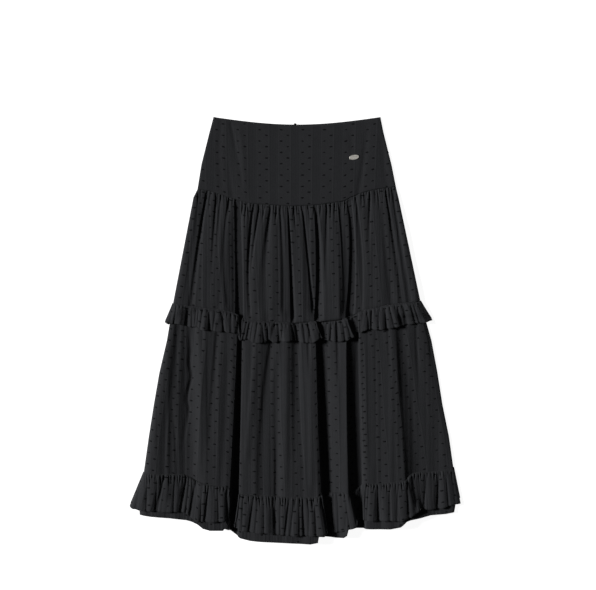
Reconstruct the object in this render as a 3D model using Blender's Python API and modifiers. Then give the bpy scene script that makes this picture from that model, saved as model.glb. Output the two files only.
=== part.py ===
# Tiered skirt laid flat on its back, front up, on a plane at z = 0.
# +X is the wearer's left as seen from above, +Y points to the waist, +Z up.
# All sizes below are millimetres. The origin is the middle of the skirt's outline, on the plane.

import math

import bmesh
import bpy
import numpy as np

MM = 0.001

# Cloth and the room between pieces
CLOTH = 1.2
RUFFLE_CLOTH = 1.0
GAP = 0.3
RUFFLE_GAP = 0.45
SIDE_SEAM_GAP = 0.55

# Shift that puts the outline's middle on the origin
SHIFT_X = 0.1
SHIFT_Y = -1.0

# Column lines run from the yoke seam to the hem, the same ones in every front piece
COLUMNS = 124
ROLL_COLUMNS = 4
YOKE_STEP = 4
YOKE_COLUMNS = np.array([*range(ROLL_COLUMNS), *range(ROLL_COLUMNS, COLUMNS - ROLL_COLUMNS, YOKE_STEP),
                         *range(COLUMNS - ROLL_COLUMNS, COLUMNS + 1)])
BACK_COLUMNS = 16

# Half widths of the rounded side edges of the front, across the skirt
ROLL_YOKE = 5.0
ROLL_MID = 12.0
ROLL_HEM = 17.0

# Depth of the two ruffles from their seams, and how far their tips swing out past the tier
MID_RUFFLE = 40.0
MID_SWING = (9.0, 12.0)
MID_TIP_RISE = 7.0
HEM_RUFFLE = 73.0
HEM_SWING = (16.5, 8.5)
HEM_TIP_RISE = 14.0
TIP_REACH = 30.0

# Waves of the two ruffles on the front: their height at the free edge, how much of it is in the seam,
# how broad their crests are, and how unevenly they lie
MID_WAVE_HEIGHT = 6.0
HEM_WAVE_HEIGHT = 7.0
WAVE_IN_SEAM = 0.15
WAVE_FLATNESS = 0.65
WAVE_DRIFT = 0.8
WAVE_DRIFT_RATE = 0.23
TIP_START = 0.5

# Gathers below the yoke seam: they are held flat in the seam and stand up over the first part
GATHER_HALF_WIDTH = 6.5
HELD_FLAT = 0.35
PUFF = 15.0

# The long valleys' widths above the hem, as a part of their widths at the hem
UPPER_WIDTHS = 0.75

# Height of the front yoke at the waist, its rise towards the seam, and its swell in between
YOKE_HEIGHT = 4.6
YOKE_RISE = 1.0
YOKE_SWELL = 0.8

# How far the back's edges and seams sag in the middle, and how much of a ruffle's depth lies flat
BACK_SAGS = {"waist": 14.0, "yoke_seam": 24.0, "mid_seam": 26.0, "hem_seam": 18.0, "hem": 9.0}
BACK_RUFFLE_PART = 0.85

# Closed zip behind the centre back seam, and the hook whose top shows above the waist beside it
ZIP = (8.0, 182.0, 1.4)
ZIP_BELOW_WAIST = 7.0
HOOK = (5.0, 8.0, 1.1)
HOOK_SHOWS = 2.2
HOOK_BESIDE = -3.0
EASED_EDGE = 0.3

# Bare oval plate on the front yoke
PLATE_PLACE = (117.0, 344.0)
PLATE_RADII = (10.0, 4.8)
PLATE_THICK = 1.0
PLATE_TURN = math.radians(10)


def table(names, *rows):
    """Rows of numbers as one array for each named column."""
    return dict(zip(names.split(), np.array(rows, float).T))


# Side edges of the tiers and the yoke, by distance up from the origin
SIDES = table(
    "y left right",
    (-368, -311, 317),
    (-350, -312, 320),
    (-278, -302, 316),
    (-214, -293, 307),
    (-150, -283, 294),
    (-86, -272, 284),
    (-22, -257, 272),
    (56, -244, 250),
    (170, -222, 226),
    (264, -204, 206),
    (280, -196, 202),
    (330, -188, 192),
    (394, -172, 176),
    (424, -164, 170),
)

# Long valleys between the front's ridges: their column line, their place across at three levels,
# their depth there, and at the hem the width of their floor and of their left and right walls
VALLEYS = table(
    "column x_yoke x_mid x_hem deep_yoke deep_mid deep_hem floor left right",
    (10, -186, -212, -236, 2.5, 3.5, 1.0, 1, 14, 8),
    (17, -164, -152, -180, 3.0, 3.0, 0.0, 0, 9, 12),
    (26, -122, -113, -118, 4.0, 9.0, 16.0, 3, 8, 9),
    (38, -86, -74, -66, 3.5, 2.5, 0.0, 0, 8, 10),
    (58, -6, -4, 22, 4.0, 8.0, 2.5, 0, 7, 14),
    (72, 38, 45, 54, 4.0, 8.0, 17.5, 4, 8, 30),
    (88, 98, 116, 118, 4.0, 9.2, 19.0, 12, 9, 7),
    (108, 164, 188, 242, 3.0, 4.0, 13.0, 6, 26, 14),
)

# Short gathers in the yoke seam: place across, depth and how far down they run
GATHERS = table(
    "x deep length",
    (-174, 1.5, 30),
    (-148, 2.0, 40),
    (-136, 3.0, 110),
    (-108, 3.0, 120),
    (-98, 2.5, 50),
    (-76, 2.5, 60),
    (-66, 3.5, 120),
    (-52, 3.0, 60),
    (-32, 3.5, 190),
    (-20, 3.0, 60),
    (8, 3.0, 60),
    (19, 3.5, 190),
    (50, 3.0, 60),
    (62, 3.5, 120),
    (74, 3.0, 160),
    (86, 2.5, 50),
    (111, 3.5, 130),
    (124, 3.5, 200),
    (138, 3.0, 60),
    (150, 2.0, 40),
    (178, 2.5, 60),
    (190, 2.5, 110),
)

# Seams and edges, by column line: distance up from the origin
LEVELS = table(
    "column waist yoke_seam mid_seam hem_seam hem",
    (0, 424, 280, 52, -284, -366),
    (10, 422, 279, 46, -288, -375),
    (17, 420, 275, 38, -304, -396),
    (23, 416, 264, 34, -312, -402),
    (26, 415, 261, 27, -318, -406),
    (29, 413, 258, 19, -324, -416),
    (38, 410, 251, 16, -330, -422),
    (58, 407.5, 246, 13, -334, -426),
    (70, 407.5, 248, 15, -333, -426),
    (73, 407.5, 248, 16, -328, -413),
    (84, 409, 254, 20, -325, -413),
    (88, 410, 256, 29, -319, -400),
    (92, 412, 264, 36, -314, -395),
    (101, 416, 275, 44, -306, -395),
    (108, 420, 280, 48, -290, -376),
    (124, 424, 286, 57, -274, -362),
)

# Number of waves of the two ruffles from the left side seam to a column line
WAVES = table(
    "column mid hem",
    (0, 0, 0),
    (26, 10, 12),
    (72, 22, 25),
    (88, 29, 30),
    (108, 36, 38),
    (124, 43, 45),
)

# Height of the front's ridges, by part of the way down each tier
UPPER_CREST = table("part height", (0, 5.8), (0.06, 8.2), (0.4, 10.5), (1, 14))
LOWER_CREST = table("part height", (0, 14), (0.15, 16.5), (0.6, 21), (1, 24))
LOWEST_UPPER = 4.4
LOWEST_LOWER = 4.9

# Where the back lower tier lies on the back's ruffles, by part of the way down it
BACK_LIFT = table("part lifted", (0, 1), (0.1, 1), (0.13, 0), (0.35, 0), (0.55, 0), (0.75, 0), (0.785, 1),
                  (1, 1))

# Rows of points down each piece, as parts of its length
UPPER_ROWS = (0.0, 0.05, 0.15, 0.35, 0.65, 1.0)
LOWER_ROWS_TO_RUFFLE = (0.0, 0.06, 0.12, 0.35, 0.65, 1.0)
LOWER_ROWS_TO_HEM = (0.0, 0.45, 0.85, 1.0)
YOKE_ROWS = (0.0, 0.1, 0.4, 0.7, 1.0)
RUFFLE_ROWS = (0.0, 0.5, 1.0)
MID_RUFFLE_ON = slice(0, 3)
HEM_RUFFLE_ON = slice(5, 8)
BACK_YOKE_ROWS = (0.0, 0.5, 1.0)
BACK_UPPER_ROWS = (0.0, 0.35, 0.7, 1.0)

# Steepest slope that a ruffle follows, and how much its waves calm down on a slope
STEEPEST = 4.0
WAVE_CALM = 1.5

COLUMN_LINES = np.arange(COLUMNS + 1)


def make_material(name, colour, roughness, metallic=0.0):
    material = bpy.data.materials.new(name)
    material.use_nodes = True
    shader = material.node_tree.nodes["Principled BSDF"]
    shader.inputs["Base Color"].default_value = (*colour, 1.0)
    shader.inputs["Roughness"].default_value = roughness
    shader.inputs["Metallic"].default_value = metallic
    return material


def edges_at(height_up):
    """Left and right edge of the tiers at a distance up from the origin."""
    left = np.interp(height_up, SIDES["y"], SIDES["left"])
    right = np.interp(height_up, SIDES["y"], SIDES["right"])
    return left, right


def level_line(level):
    """A seam's or edge's distance up, for every column line."""
    line = np.interp(COLUMN_LINES, LEVELS["column"], LEVELS[level])
    kernel = np.array([1, 2, 3, 2, 1]) / 9
    padded = np.pad(line, 2, mode="edge")
    return np.convolve(padded, kernel, mode="valid")


YOKE_SEAM = level_line("yoke_seam")
MID_SEAM = level_line("mid_seam")
HEM_SEAM = level_line("hem_seam")
HEM = level_line("hem")


def fractions_at(level, seam):
    """The long valleys' places across at a level, as fractions of the width there."""
    left, right = edges_at(seam[0])[0], edges_at(seam[-1])[1]
    return (VALLEYS[level] - left) / (right - left)


YOKE_FRACTIONS = fractions_at("x_yoke", YOKE_SEAM)
MID_FRACTIONS = fractions_at("x_mid", MID_SEAM)
HEM_FRACTIONS = fractions_at("x_hem", HEM)


def row_across(fractions, up_left, up_right, roll):
    """Points across one row: the rolled edges, and between them the columns through the valleys."""
    left = edges_at(up_left)[0]
    right = edges_at(up_right)[1]
    places = left + fractions * (right - left)
    knots = np.concatenate(([ROLL_COLUMNS], VALLEYS["column"], [COLUMNS - ROLL_COLUMNS]))
    across = np.interp(COLUMN_LINES, knots, np.concatenate(([left + roll], places, [right - roll])))
    turn = np.arange(ROLL_COLUMNS) / ROLL_COLUMNS * math.pi / 2
    across[:ROLL_COLUMNS] = left + roll * (1 - np.cos(turn))
    across[-ROLL_COLUMNS:] = (right - roll * (1 - np.cos(turn)))[::-1]
    return across


def roll_down(heights, edge_height):
    """Bend the outer columns down to the side seams in quarter rounds."""
    turn = np.sin(np.arange(ROLL_COLUMNS) / ROLL_COLUMNS * math.pi / 2)
    rolled = heights.copy()
    rolled[:ROLL_COLUMNS] = edge_height + (heights[ROLL_COLUMNS] - edge_height) * turn
    rolled[-ROLL_COLUMNS:] = (edge_height + (heights[-ROLL_COLUMNS - 1] - edge_height) * turn)[::-1]
    return rolled


def dip(distance, floor, left, right):
    """1 on a valley's floor, falling in a smooth wall to 0 on each side."""
    wall = np.where(distance < 0, left, right)
    part = np.clip((np.abs(distance) - floor / 2) / wall, 0, 1)
    return (1 + np.cos(math.pi * part)) / 2


def relief(across, depths, widths):
    """How far each point of a row lies below the ridges because of the long valleys."""
    low = np.zeros_like(across)
    for number, column in enumerate(VALLEYS["column"].astype(int)):
        distance = across - across[column]
        walls = (VALLEYS[name][number] * widths for name in ("floor", "left", "right"))
        low = np.maximum(low, depths[number] * dip(distance, *walls))
    return low


def gathers(across, yoke_row, drop):
    """How far each point of a row lies below the ridges because of the short gathers."""
    low = np.zeros_like(across)
    for place, deep, length in zip(GATHERS["x"], GATHERS["deep"], GATHERS["length"]):
        column = np.interp(place, yoke_row, COLUMN_LINES)
        centre = np.interp(column, COLUMN_LINES, across)
        fade = np.clip(1 - drop / length, 0, 1)
        low = np.maximum(low, deep * fade * dip(across - centre, 0, GATHER_HALF_WIDTH, GATHER_HALF_WIDTH))
    return low


def back_lift(down):
    """Height of the back lower tier's underside: it lies on the back's ruffles where they pass under it."""
    return (RUFFLE_CLOTH + GAP) * np.interp(down, BACK_LIFT["part"], BACK_LIFT["lifted"])


def upper_tier_points():
    """Front upper tier, row by row from the yoke seam to the mid seam."""
    top, low = yoke_seam_line() - GAP / 2, MID_SEAM + GAP / 2
    yoke_row = row_across(YOKE_FRACTIONS, YOKE_SEAM[0], YOKE_SEAM[-1], ROLL_YOKE)
    rows = []
    for part in UPPER_ROWS:
        up = top + (low - top) * part
        fractions = YOKE_FRACTIONS + (MID_FRACTIONS - YOKE_FRACTIONS) * part
        across = row_across(fractions, up[0], up[-1], ROLL_YOKE + (ROLL_MID - ROLL_YOKE) * part)
        drop = (top - up).mean()
        puff = min(1.0, HELD_FLAT + drop / PUFF)
        depths = VALLEYS["deep_yoke"] + (VALLEYS["deep_mid"] - VALLEYS["deep_yoke"]) * part
        low_by = np.maximum(relief(across, depths, UPPER_WIDTHS), gathers(across, yoke_row, drop))
        crest = np.interp(part, UPPER_CREST["part"], UPPER_CREST["height"])
        heights = np.maximum(crest - puff * low_by, LOWEST_UPPER)
        rows.append((across, up, roll_down(heights, CLOTH + SIDE_SEAM_GAP)))
    return np.array(rows)


def lower_tier_points():
    """Front lower tier, row by row from the mid seam to the hem."""
    rows = []
    pieces = [(MID_SEAM - GAP / 2, HEM_SEAM, part) for part in LOWER_ROWS_TO_RUFFLE]
    pieces += [(HEM_SEAM, HEM, part) for part in LOWER_ROWS_TO_HEM[1:]]
    for top, low, part in pieces:
        up = top + (low - top) * part
        down = float(((MID_SEAM - up) / (MID_SEAM - HEM)).mean())
        fractions = MID_FRACTIONS + (HEM_FRACTIONS - MID_FRACTIONS) * down
        across = row_across(fractions, up[0], up[-1], ROLL_MID + (ROLL_HEM - ROLL_MID) * down)
        depths = VALLEYS["deep_mid"] + (VALLEYS["deep_hem"] - VALLEYS["deep_mid"]) * down
        crest = np.interp(down, LOWER_CREST["part"], LOWER_CREST["height"])
        low_by = relief(across, depths, UPPER_WIDTHS + (1 - UPPER_WIDTHS) * down)
        heights = np.maximum(crest - low_by, LOWEST_LOWER)
        edge = CLOTH + SIDE_SEAM_GAP + back_lift(down)
        rows.append((across, up, roll_down(heights, edge)))
    return np.array(rows)


def yoke_seam_line():
    """The yoke seam as straight runs between the yoke's own, wider columns."""
    across = row_across(YOKE_FRACTIONS, YOKE_SEAM[0], YOKE_SEAM[-1], ROLL_YOKE)
    return np.interp(across, across[YOKE_COLUMNS], YOKE_SEAM[YOKE_COLUMNS])


def yoke_points():
    """Front yoke, row by row from the waist to the yoke seam."""
    waist = level_line("waist")[YOKE_COLUMNS]
    seam = YOKE_SEAM[YOKE_COLUMNS] + GAP / 2
    rows = []
    for part in YOKE_ROWS:
        up = waist + (seam - waist) * part
        across = row_across(YOKE_FRACTIONS, up[0], up[-1], ROLL_YOKE)[YOKE_COLUMNS]
        height = YOKE_HEIGHT + YOKE_RISE * part + YOKE_SWELL * math.sin(math.pi * part)
        rows.append((across, up, roll_down(np.full_like(across, height), CLOTH + SIDE_SEAM_GAP)))
    return np.array(rows)


def ruffle_points(tier_rows, tip_rise, swing, waves, wave_height):
    """A ruffle worked out from three of the lower tier's rows of points, moved out and waved."""
    fine = np.linspace(0, COLUMNS, 2 * COLUMNS + 1)
    side = side_lean(fine)
    upright = 1 - np.abs(side)
    outward = np.sign(fine - COLUMNS / 2)
    swings = np.where(outward < 0, *swing)
    tips = tip_weight(between_columns(tier_rows[0, 0], fine))
    turns = np.interp(fine, WAVES["column"], waves)
    phase = 2 * math.pi * turns + WAVE_DRIFT * np.sin(fine * WAVE_DRIFT_RATE)
    rows = []
    for row, part in zip(tier_rows, RUFFLE_ROWS):
        across, up, height = (between_columns(line, fine) for line in row)
        slope = np.minimum(steepest(across, height), STEEPEST)
        moved = (TIP_START + swings * part) * tips
        room = (RUFFLE_CLOTH + RUFFLE_GAP) * np.sqrt(1 + slope ** 2) * (1 + np.abs(side)) + moved * slope
        grown = WAVE_IN_SEAM + (1 - WAVE_IN_SEAM) * part
        wave = wave_height * grown / (1 + WAVE_CALM * slope ** 2) * ((1 + np.cos(phase)) / 2) ** WAVE_FLATNESS
        heights = height + upright * (wave + room)
        heights[[0, -1]] = RUFFLE_CLOTH + SIDE_SEAM_GAP
        across = across + side * (RUFFLE_CLOTH + RUFFLE_GAP) + outward * moved
        rows.append((across, up + tip_rise * part * tips, heights))
    return np.array(rows)


def between_columns(line, fine):
    return np.interp(fine, COLUMN_LINES, line)


def steepest(across, height):
    """The steepest of the four slopes beside each point of a row, two on each side."""
    slopes = np.pad(np.abs(np.diff(height) / np.diff(across)), 2)
    return np.max([slopes[start:start + across.size] for start in range(4)], axis=0)


def side_lean(fine):
    """How far the rolled edge faces sideways: -1 and 1 at the side seams, 0 inside the rolls."""
    inward = np.minimum(fine, COLUMNS - fine) / ROLL_COLUMNS
    return np.sign(fine - COLUMNS / 2) * np.cos(np.clip(inward, 0, 1) * math.pi / 2)


def tip_weight(across):
    """1 at the side edges, falling off over the tips' reach."""
    return np.exp(-np.minimum(across - across[0], across[-1] - across) / TIP_REACH)


def cloth(name, rows, thickness, material, collection):
    """A sheet through the rows of points, given its thickness below them."""
    rows = rows[::-1]
    count_down, _, count_across = rows.shape
    grid = bmesh.new()
    bmesh.ops.create_grid(grid, x_segments=count_across - 1, y_segments=count_down - 1, size=1)
    grid.verts.ensure_lookup_table()
    points = rows.transpose(0, 2, 1).reshape(-1, 3)
    for vertex, point in zip(grid.verts, points):
        vertex.co = ((point[0] - SHIFT_X) * MM, (point[1] - SHIFT_Y) * MM, point[2] * MM)
    mesh = bpy.data.meshes.new(name)
    grid.to_mesh(mesh)
    grid.free()
    mesh.shade_smooth()
    sheet = bpy.data.objects.new(name, mesh)
    sheet.data.materials.append(material)
    collection.objects.link(sheet)
    wall = sheet.modifiers.new("cloth", "SOLIDIFY")
    wall.thickness = thickness * MM
    wall.offset = -1
    return sheet


def back_line(level):
    """A seam of the back: a shallow arc between the side seams' ends."""
    across = np.linspace(0, 1, BACK_COLUMNS + 1)
    line = level_line(level)
    return line[0] + (line[-1] - line[0]) * across - BACK_SAGS[level] * np.sin(math.pi * across)


def back_points(top, low, parts, thickness, widen=0.0, swing=(0.0, 0.0), lift=None):
    """A flat back piece, row by row from its top line to its lower one."""
    across = np.linspace(0, 1, BACK_COLUMNS + 1)
    rows = []
    for part in parts:
        up = top + (low - top) * part
        left = edges_at(up[0])[0] - widen - swing[0] * part
        right = edges_at(up[-1])[1] + widen + swing[1] * part
        heights = np.full_like(up, thickness + (lift(part) if lift else 0.0))
        rows.append((left + (right - left) * across, up, heights))
    return np.array(rows)


def add_back(collection, black):
    """The back's yoke halves, tiers and ruffles, flat on the plane."""
    half_gap = GAP / 2
    waist, yoke_seam, mid_seam, hem_seam, hem = (back_line(level) for level in BACK_SAGS)
    yoke = back_points(waist, yoke_seam + half_gap, BACK_YOKE_ROWS, CLOTH)
    middle = BACK_COLUMNS // 2
    left, right = yoke[:, :, :middle + 1].copy(), yoke[:, :, middle:].copy()
    left[:, 0, -1] -= half_gap
    right[:, 0, 0] += half_gap
    cloth("back_yoke_left", left, CLOTH, black, collection)
    cloth("back_yoke_right", right, CLOTH, black, collection)
    upper = back_points(yoke_seam - half_gap, mid_seam + half_gap, BACK_UPPER_ROWS, CLOTH)
    cloth("back_upper_tier", upper, CLOTH, black, collection)
    lower = back_points(mid_seam - half_gap, hem, BACK_LIFT["part"], CLOTH, lift=back_lift)
    cloth("back_lower_tier", lower, CLOTH, black, collection)
    clear = RUFFLE_GAP + RUFFLE_CLOTH + TIP_START
    ruffles = (
        ("back_mid_ruffle", mid_seam - half_gap, MID_RUFFLE, MID_SWING),
        ("back_hem_ruffle", hem_seam, HEM_RUFFLE, HEM_SWING),
    )
    for name, seam, depth, swing in ruffles:
        edge = seam - depth * BACK_RUFFLE_PART
        rows = back_points(seam, edge, RUFFLE_ROWS, RUFFLE_CLOTH, clear, swing)
        cloth(name, rows, RUFFLE_CLOTH, black, collection)
    return waist[middle]


def add_zip(back_waist, collection, metal, tape):
    """Closed zip lying on the inside of the centre back seam, with the hook above it."""
    middle = sum(edges_at(back_waist)) / 2
    base = CLOTH + GAP
    zip_place = (middle, back_waist - ZIP_BELOW_WAIST - ZIP[1] / 2, base + ZIP[2] / 2)
    add_box("back_zip", ZIP, zip_place, tape, collection)
    hook_place = (middle + HOOK_BESIDE, back_waist + HOOK_SHOWS - HOOK[1] / 2, base + HOOK[2] / 2)
    add_box("waist_hook", HOOK, hook_place, metal, collection)


def add_box(name, size, place, material, collection):
    """A small block with eased edges."""
    shape = bmesh.new()
    bmesh.ops.create_cube(shape, size=1)
    for vertex in shape.verts:
        vertex.co = [part * length * MM for part, length in zip(vertex.co, size)]
    mesh = bpy.data.meshes.new(name)
    shape.to_mesh(mesh)
    shape.free()
    block = bpy.data.objects.new(name, mesh)
    block.location = ((place[0] - SHIFT_X) * MM, (place[1] - SHIFT_Y) * MM, place[2] * MM)
    block.data.materials.append(material)
    collection.objects.link(block)
    ease = block.modifiers.new("eased edges", "BEVEL")
    ease.width = EASED_EDGE * MM
    ease.segments = 1
    return block


def add_plate(surface, collection, metal):
    """Bare oval plate that lies on the front yoke."""
    shape = bmesh.new()
    bmesh.ops.create_cone(shape, cap_ends=True, segments=24, radius1=1, radius2=1, depth=PLATE_THICK * MM)
    for vertex in shape.verts:
        vertex.co.x *= PLATE_RADII[0] * MM
        vertex.co.y *= PLATE_RADII[1] * MM
    mesh = bpy.data.meshes.new("hip_plate")
    shape.to_mesh(mesh)
    shape.free()
    plate = bpy.data.objects.new("hip_plate", mesh)
    height = surface + GAP + PLATE_THICK / 2
    plate.location = ((PLATE_PLACE[0] - SHIFT_X) * MM, (PLATE_PLACE[1] - SHIFT_Y) * MM, height * MM)
    plate.rotation_euler = (0, 0, PLATE_TURN)
    plate.data.materials.append(metal)
    collection.objects.link(plate)
    ease = plate.modifiers.new("eased edges", "BEVEL")
    ease.width = EASED_EDGE * MM
    ease.segments = 2
    ease.limit_method = "ANGLE"
    return plate


def build():
    for thing in list(bpy.data.objects):
        bpy.data.objects.remove(thing)
    collection = bpy.data.collections.new("tiered_skirt")
    bpy.context.scene.collection.children.link(collection)
    black = make_material("black_cotton", (0.016, 0.015, 0.016), 0.85)
    ruffle_black = make_material("ruffle_cotton", (0.017, 0.016, 0.017), 0.85)
    metal = make_material("plate_metal", (0.45, 0.42, 0.37), 0.3, 1.0)
    tape = make_material("zip_tape", (0.01, 0.01, 0.01), 0.6)

    yoke = yoke_points()
    cloth("front_yoke", yoke, CLOTH, black, collection)
    cloth("front_upper_tier", upper_tier_points(), CLOTH, black, collection)
    tier = lower_tier_points()
    cloth("front_lower_tier", tier, CLOTH, black, collection)
    mid = ruffle_points(tier[MID_RUFFLE_ON], MID_TIP_RISE, MID_SWING, WAVES["mid"], MID_WAVE_HEIGHT)
    cloth("front_mid_ruffle", mid, RUFFLE_CLOTH, ruffle_black, collection)
    low = ruffle_points(tier[HEM_RUFFLE_ON], HEM_TIP_RISE, HEM_SWING, WAVES["hem"], HEM_WAVE_HEIGHT)
    cloth("front_hem_ruffle", low, RUFFLE_CLOTH, ruffle_black, collection)
    back_waist = add_back(collection, black)
    add_zip(back_waist, collection, metal, tape)
    add_plate(yoke[1:3, 2, 1:-1].max(), collection, metal)


build()
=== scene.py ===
import math

import bpy
import numpy as np
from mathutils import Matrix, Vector


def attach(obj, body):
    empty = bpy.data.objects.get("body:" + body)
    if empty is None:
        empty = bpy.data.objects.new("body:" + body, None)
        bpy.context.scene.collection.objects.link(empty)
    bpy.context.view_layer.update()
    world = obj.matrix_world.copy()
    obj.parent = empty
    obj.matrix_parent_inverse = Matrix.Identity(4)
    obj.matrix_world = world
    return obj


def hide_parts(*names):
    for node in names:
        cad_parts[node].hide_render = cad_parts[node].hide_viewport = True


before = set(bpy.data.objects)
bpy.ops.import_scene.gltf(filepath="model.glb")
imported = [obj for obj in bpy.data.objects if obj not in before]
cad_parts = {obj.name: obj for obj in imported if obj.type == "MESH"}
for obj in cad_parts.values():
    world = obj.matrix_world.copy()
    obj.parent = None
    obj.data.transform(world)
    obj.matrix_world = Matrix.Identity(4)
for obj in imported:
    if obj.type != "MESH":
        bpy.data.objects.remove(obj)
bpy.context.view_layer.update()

# Black dotted skirt with two gathered tiers and two ruffles, laid flat on its back, front up.
# Sizes are millimetres until a mesh is made. +Y points to the waist and z = 0 is the surface it lies on.

mm = 0.001


def table(names, *rows):
    # rows of numbers turned into one array for each named column
    return dict(zip(names.split(), np.array(rows, float).T))


def smoothStep(value, low, high):
    # 0 below low, 1 above high, and an even S curve between them
    part = np.clip((value - low) / (high - low), 0, 1)
    return part * part * (3 - 2 * part)


# Outline, seams and column lines: a column line runs down every front piece along its folds

skirt = {
    "shift": (0.1, -1.0),          # puts the outline's middle on the origin
    "columns": 124,
    "rolled": 4,                   # columns at each side edge that roll down to the side seam
    "edgeColumns": 6,              # more points across each roll, so that it looks round
    "cloth": 0.6,
    "ruffleCloth": 0.5,
    "gap": 0.3,                    # between pieces at a seam
    "sideEdge": 1.6,               # height of the front's side edges over the surface
    "sides": table(
        "y left right",
        (-368, -311, 317), (-350, -312, 320), (-278, -302, 316), (-214, -293, 307), (-150, -283, 294),
        (-86, -272, 284), (-22, -257, 272), (56, -244, 250), (170, -222, 226), (264, -204, 206),
        (280, -196, 202), (330, -188, 192), (394, -172, 176), (424, -164, 170),
    ),
    "lines": table(
        "column waist yokeSeam midSeam hemSeam hem",
        (0, 425, 280, 52, -284, -366),
        (10, 423, 279, 46, -288, -375),
        (17, 421, 275, 38, -304, -396),
        (23, 417, 264, 34, -312, -402),
        (26, 416, 261, 27, -318, -406),
        (29, 414, 258, 19, -324, -416),
        (38, 411, 251, 16, -330, -422),
        (58, 407.5, 246, 13, -334, -426),
        (70, 407.5, 248, 15, -333, -426),
        (73, 407.5, 248, 16, -328, -413),
        (84, 409, 254, 20, -325, -413),
        (88, 410, 256, 29, -319, -400),
        (92, 412, 264, 36, -314, -395),
        (101, 416, 275, 44, -306, -395),
        (108, 420, 280, 48, -290, -376),
        (124, 425, 286, 57, -274, -362),
    ),
    "knots": table(
        "column yokeSeam midSeam hem",   # where these columns lie across at three levels
        (10, -186, -212, -236),
        (17, -164, -152, -180),
        (26, -122, -113, -118),
        (38, -86, -74, -66),
        (58, -6, -4, 22),
        (72, 38, 45, 54),
        (88, 98, 116, 118),
        (108, 164, 188, 242),
    ),
    "rollYoke": 5.0,
    "rollMid": 12.0,
    "rollHem": 17.0,
    "rollPower": 0.5,              # below 1 the side edges stay high and then drop steeply
    "tuck": 1.4,                   # how far an edge runs under the piece above its seam
    "tuckDepth": 2.6,
    "tuckRange": (-0.1, 0.9),      # where it sinks, measured up from the seam line
    "seamDip": 1.0,                # how far the stitches of a ruffle's seam pull the cloth down
    "seamReach": 4.5,              # and how far from the seam the ruffle stands up again
}


def lineOf(level, columns):
    # a seam's distance up at the given column lines: its table, smoothed over five columns
    whole = np.arange(skirt["columns"] + 1)
    line = np.interp(whole, skirt["lines"]["column"], skirt["lines"][level])
    kernel = np.array([1, 2, 3, 2, 1]) / 9
    return np.interp(columns, whole, np.convolve(np.pad(line, 2, mode="edge"), kernel, mode="valid"))


def edgesAt(up):
    # the left and right side edges at the given distances up: straight between the rows of their table
    sides = skirt["sides"]
    return np.interp(up, sides["y"], sides["left"]), np.interp(up, sides["y"], sides["right"])


def knotParts(level):
    # the knots' places as parts of the skirt's width at a level: distance from the left edge over the width
    ends = lineOf(level, np.array([0, skirt["columns"]]))
    left, right = edgesAt(ends[0])[0], edgesAt(ends[1])[1]
    return (skirt["knots"][level] - left) / (right - left)


def acrossRows(columns, up, parts, roll):
    # places across, a row for each row of up: straight between the knots, and at each edge a quarter round,
    # so the edge plus the roll's size times 1 - cos of the angle
    rolled, last = skirt["rolled"], skirt["columns"]
    left, right = edgesAt(up[:, :1])[0], edgesAt(up[:, -1:])[1]
    knots = np.concatenate(([rolled], skirt["knots"]["column"], [last - rolled]))
    places = np.hstack((left + roll, left + parts * (right - left), right - roll))
    number = np.clip(np.searchsorted(knots, columns, side="right") - 1, 0, knots.size - 2)
    share = (columns - knots[number]) / (knots[number + 1] - knots[number])
    across = places[:, number] * (1 - share) + places[:, number + 1] * share
    turn = np.clip(columns / rolled, 0, 1) * math.pi / 2
    back = np.clip((last - columns) / rolled, 0, 1) * math.pi / 2
    across = np.where(columns < rolled, left + roll * (1 - np.cos(turn)), across)
    return np.where(columns > last - rolled, right - roll * (1 - np.cos(back)), across)


def rollDown(columns, heights, edge):
    # the outer columns bend down to the side seams: the height over the edge times a power of the angle's sine
    inward = np.minimum(columns, skirt["columns"] - columns) / skirt["rolled"]
    return edge + (heights - edge) * np.sin(np.clip(inward, 0, 1) * math.pi / 2) ** skirt["rollPower"]


def evenColumns(count, up, parts, roll):
    # column numbers whose places across are evenly spaced in one row, with more of them in the rolls: one fine
    # row is worked out, and read backwards from place to column
    last, more = skirt["columns"], skirt["edgeColumns"]
    fine = np.linspace(0, last, 4000)
    across = acrossRows(fine, np.interp(fine, [0, last], up)[None], parts[None], roll)[0]
    inner = np.interp(np.linspace(across[0], across[-1], count - 2 * more), across, fine)
    edge = np.linspace(0, skirt["rolled"], more + 2)[1:-1]
    return np.sort(np.concatenate((inner, edge, last - edge)))


# Creases: a crease runs down through three points, and falls in a cosine wall on each side of its floor

creaseForm = {
    "fadeBelow": 22.0,             # distance over which a crease ends under its lowest point
    "fadeAbove": 14.0,             # and over its highest point
    "shoulder": (2.4, 5.0),        # a shoulder is so many walls wide, and so much wider again
}

pinchForm = {                      # smallest and largest, as parts of the piece's own pinch, length and spacing
    "deep": (0.35, 1.25),
    "long": (0.45, 1.6),
    "lean": (-0.10, 0.10),         # sideways for each millimetre down
    "wide": (0.28, 0.42),
    "apart": (0.65, 1.4),
    "fromEdge": 4.0,
    "whole": 0.3,                  # part of its length over which a pinch stays whole
}

waveForm = {
    "count": 7,
    "across": (0.55, 1.6),         # shortest and longest, as parts of the given length
    "lean": (-0.012, 0.012),
    "turn": 6.28,
    "strength": 1.6,
}


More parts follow.
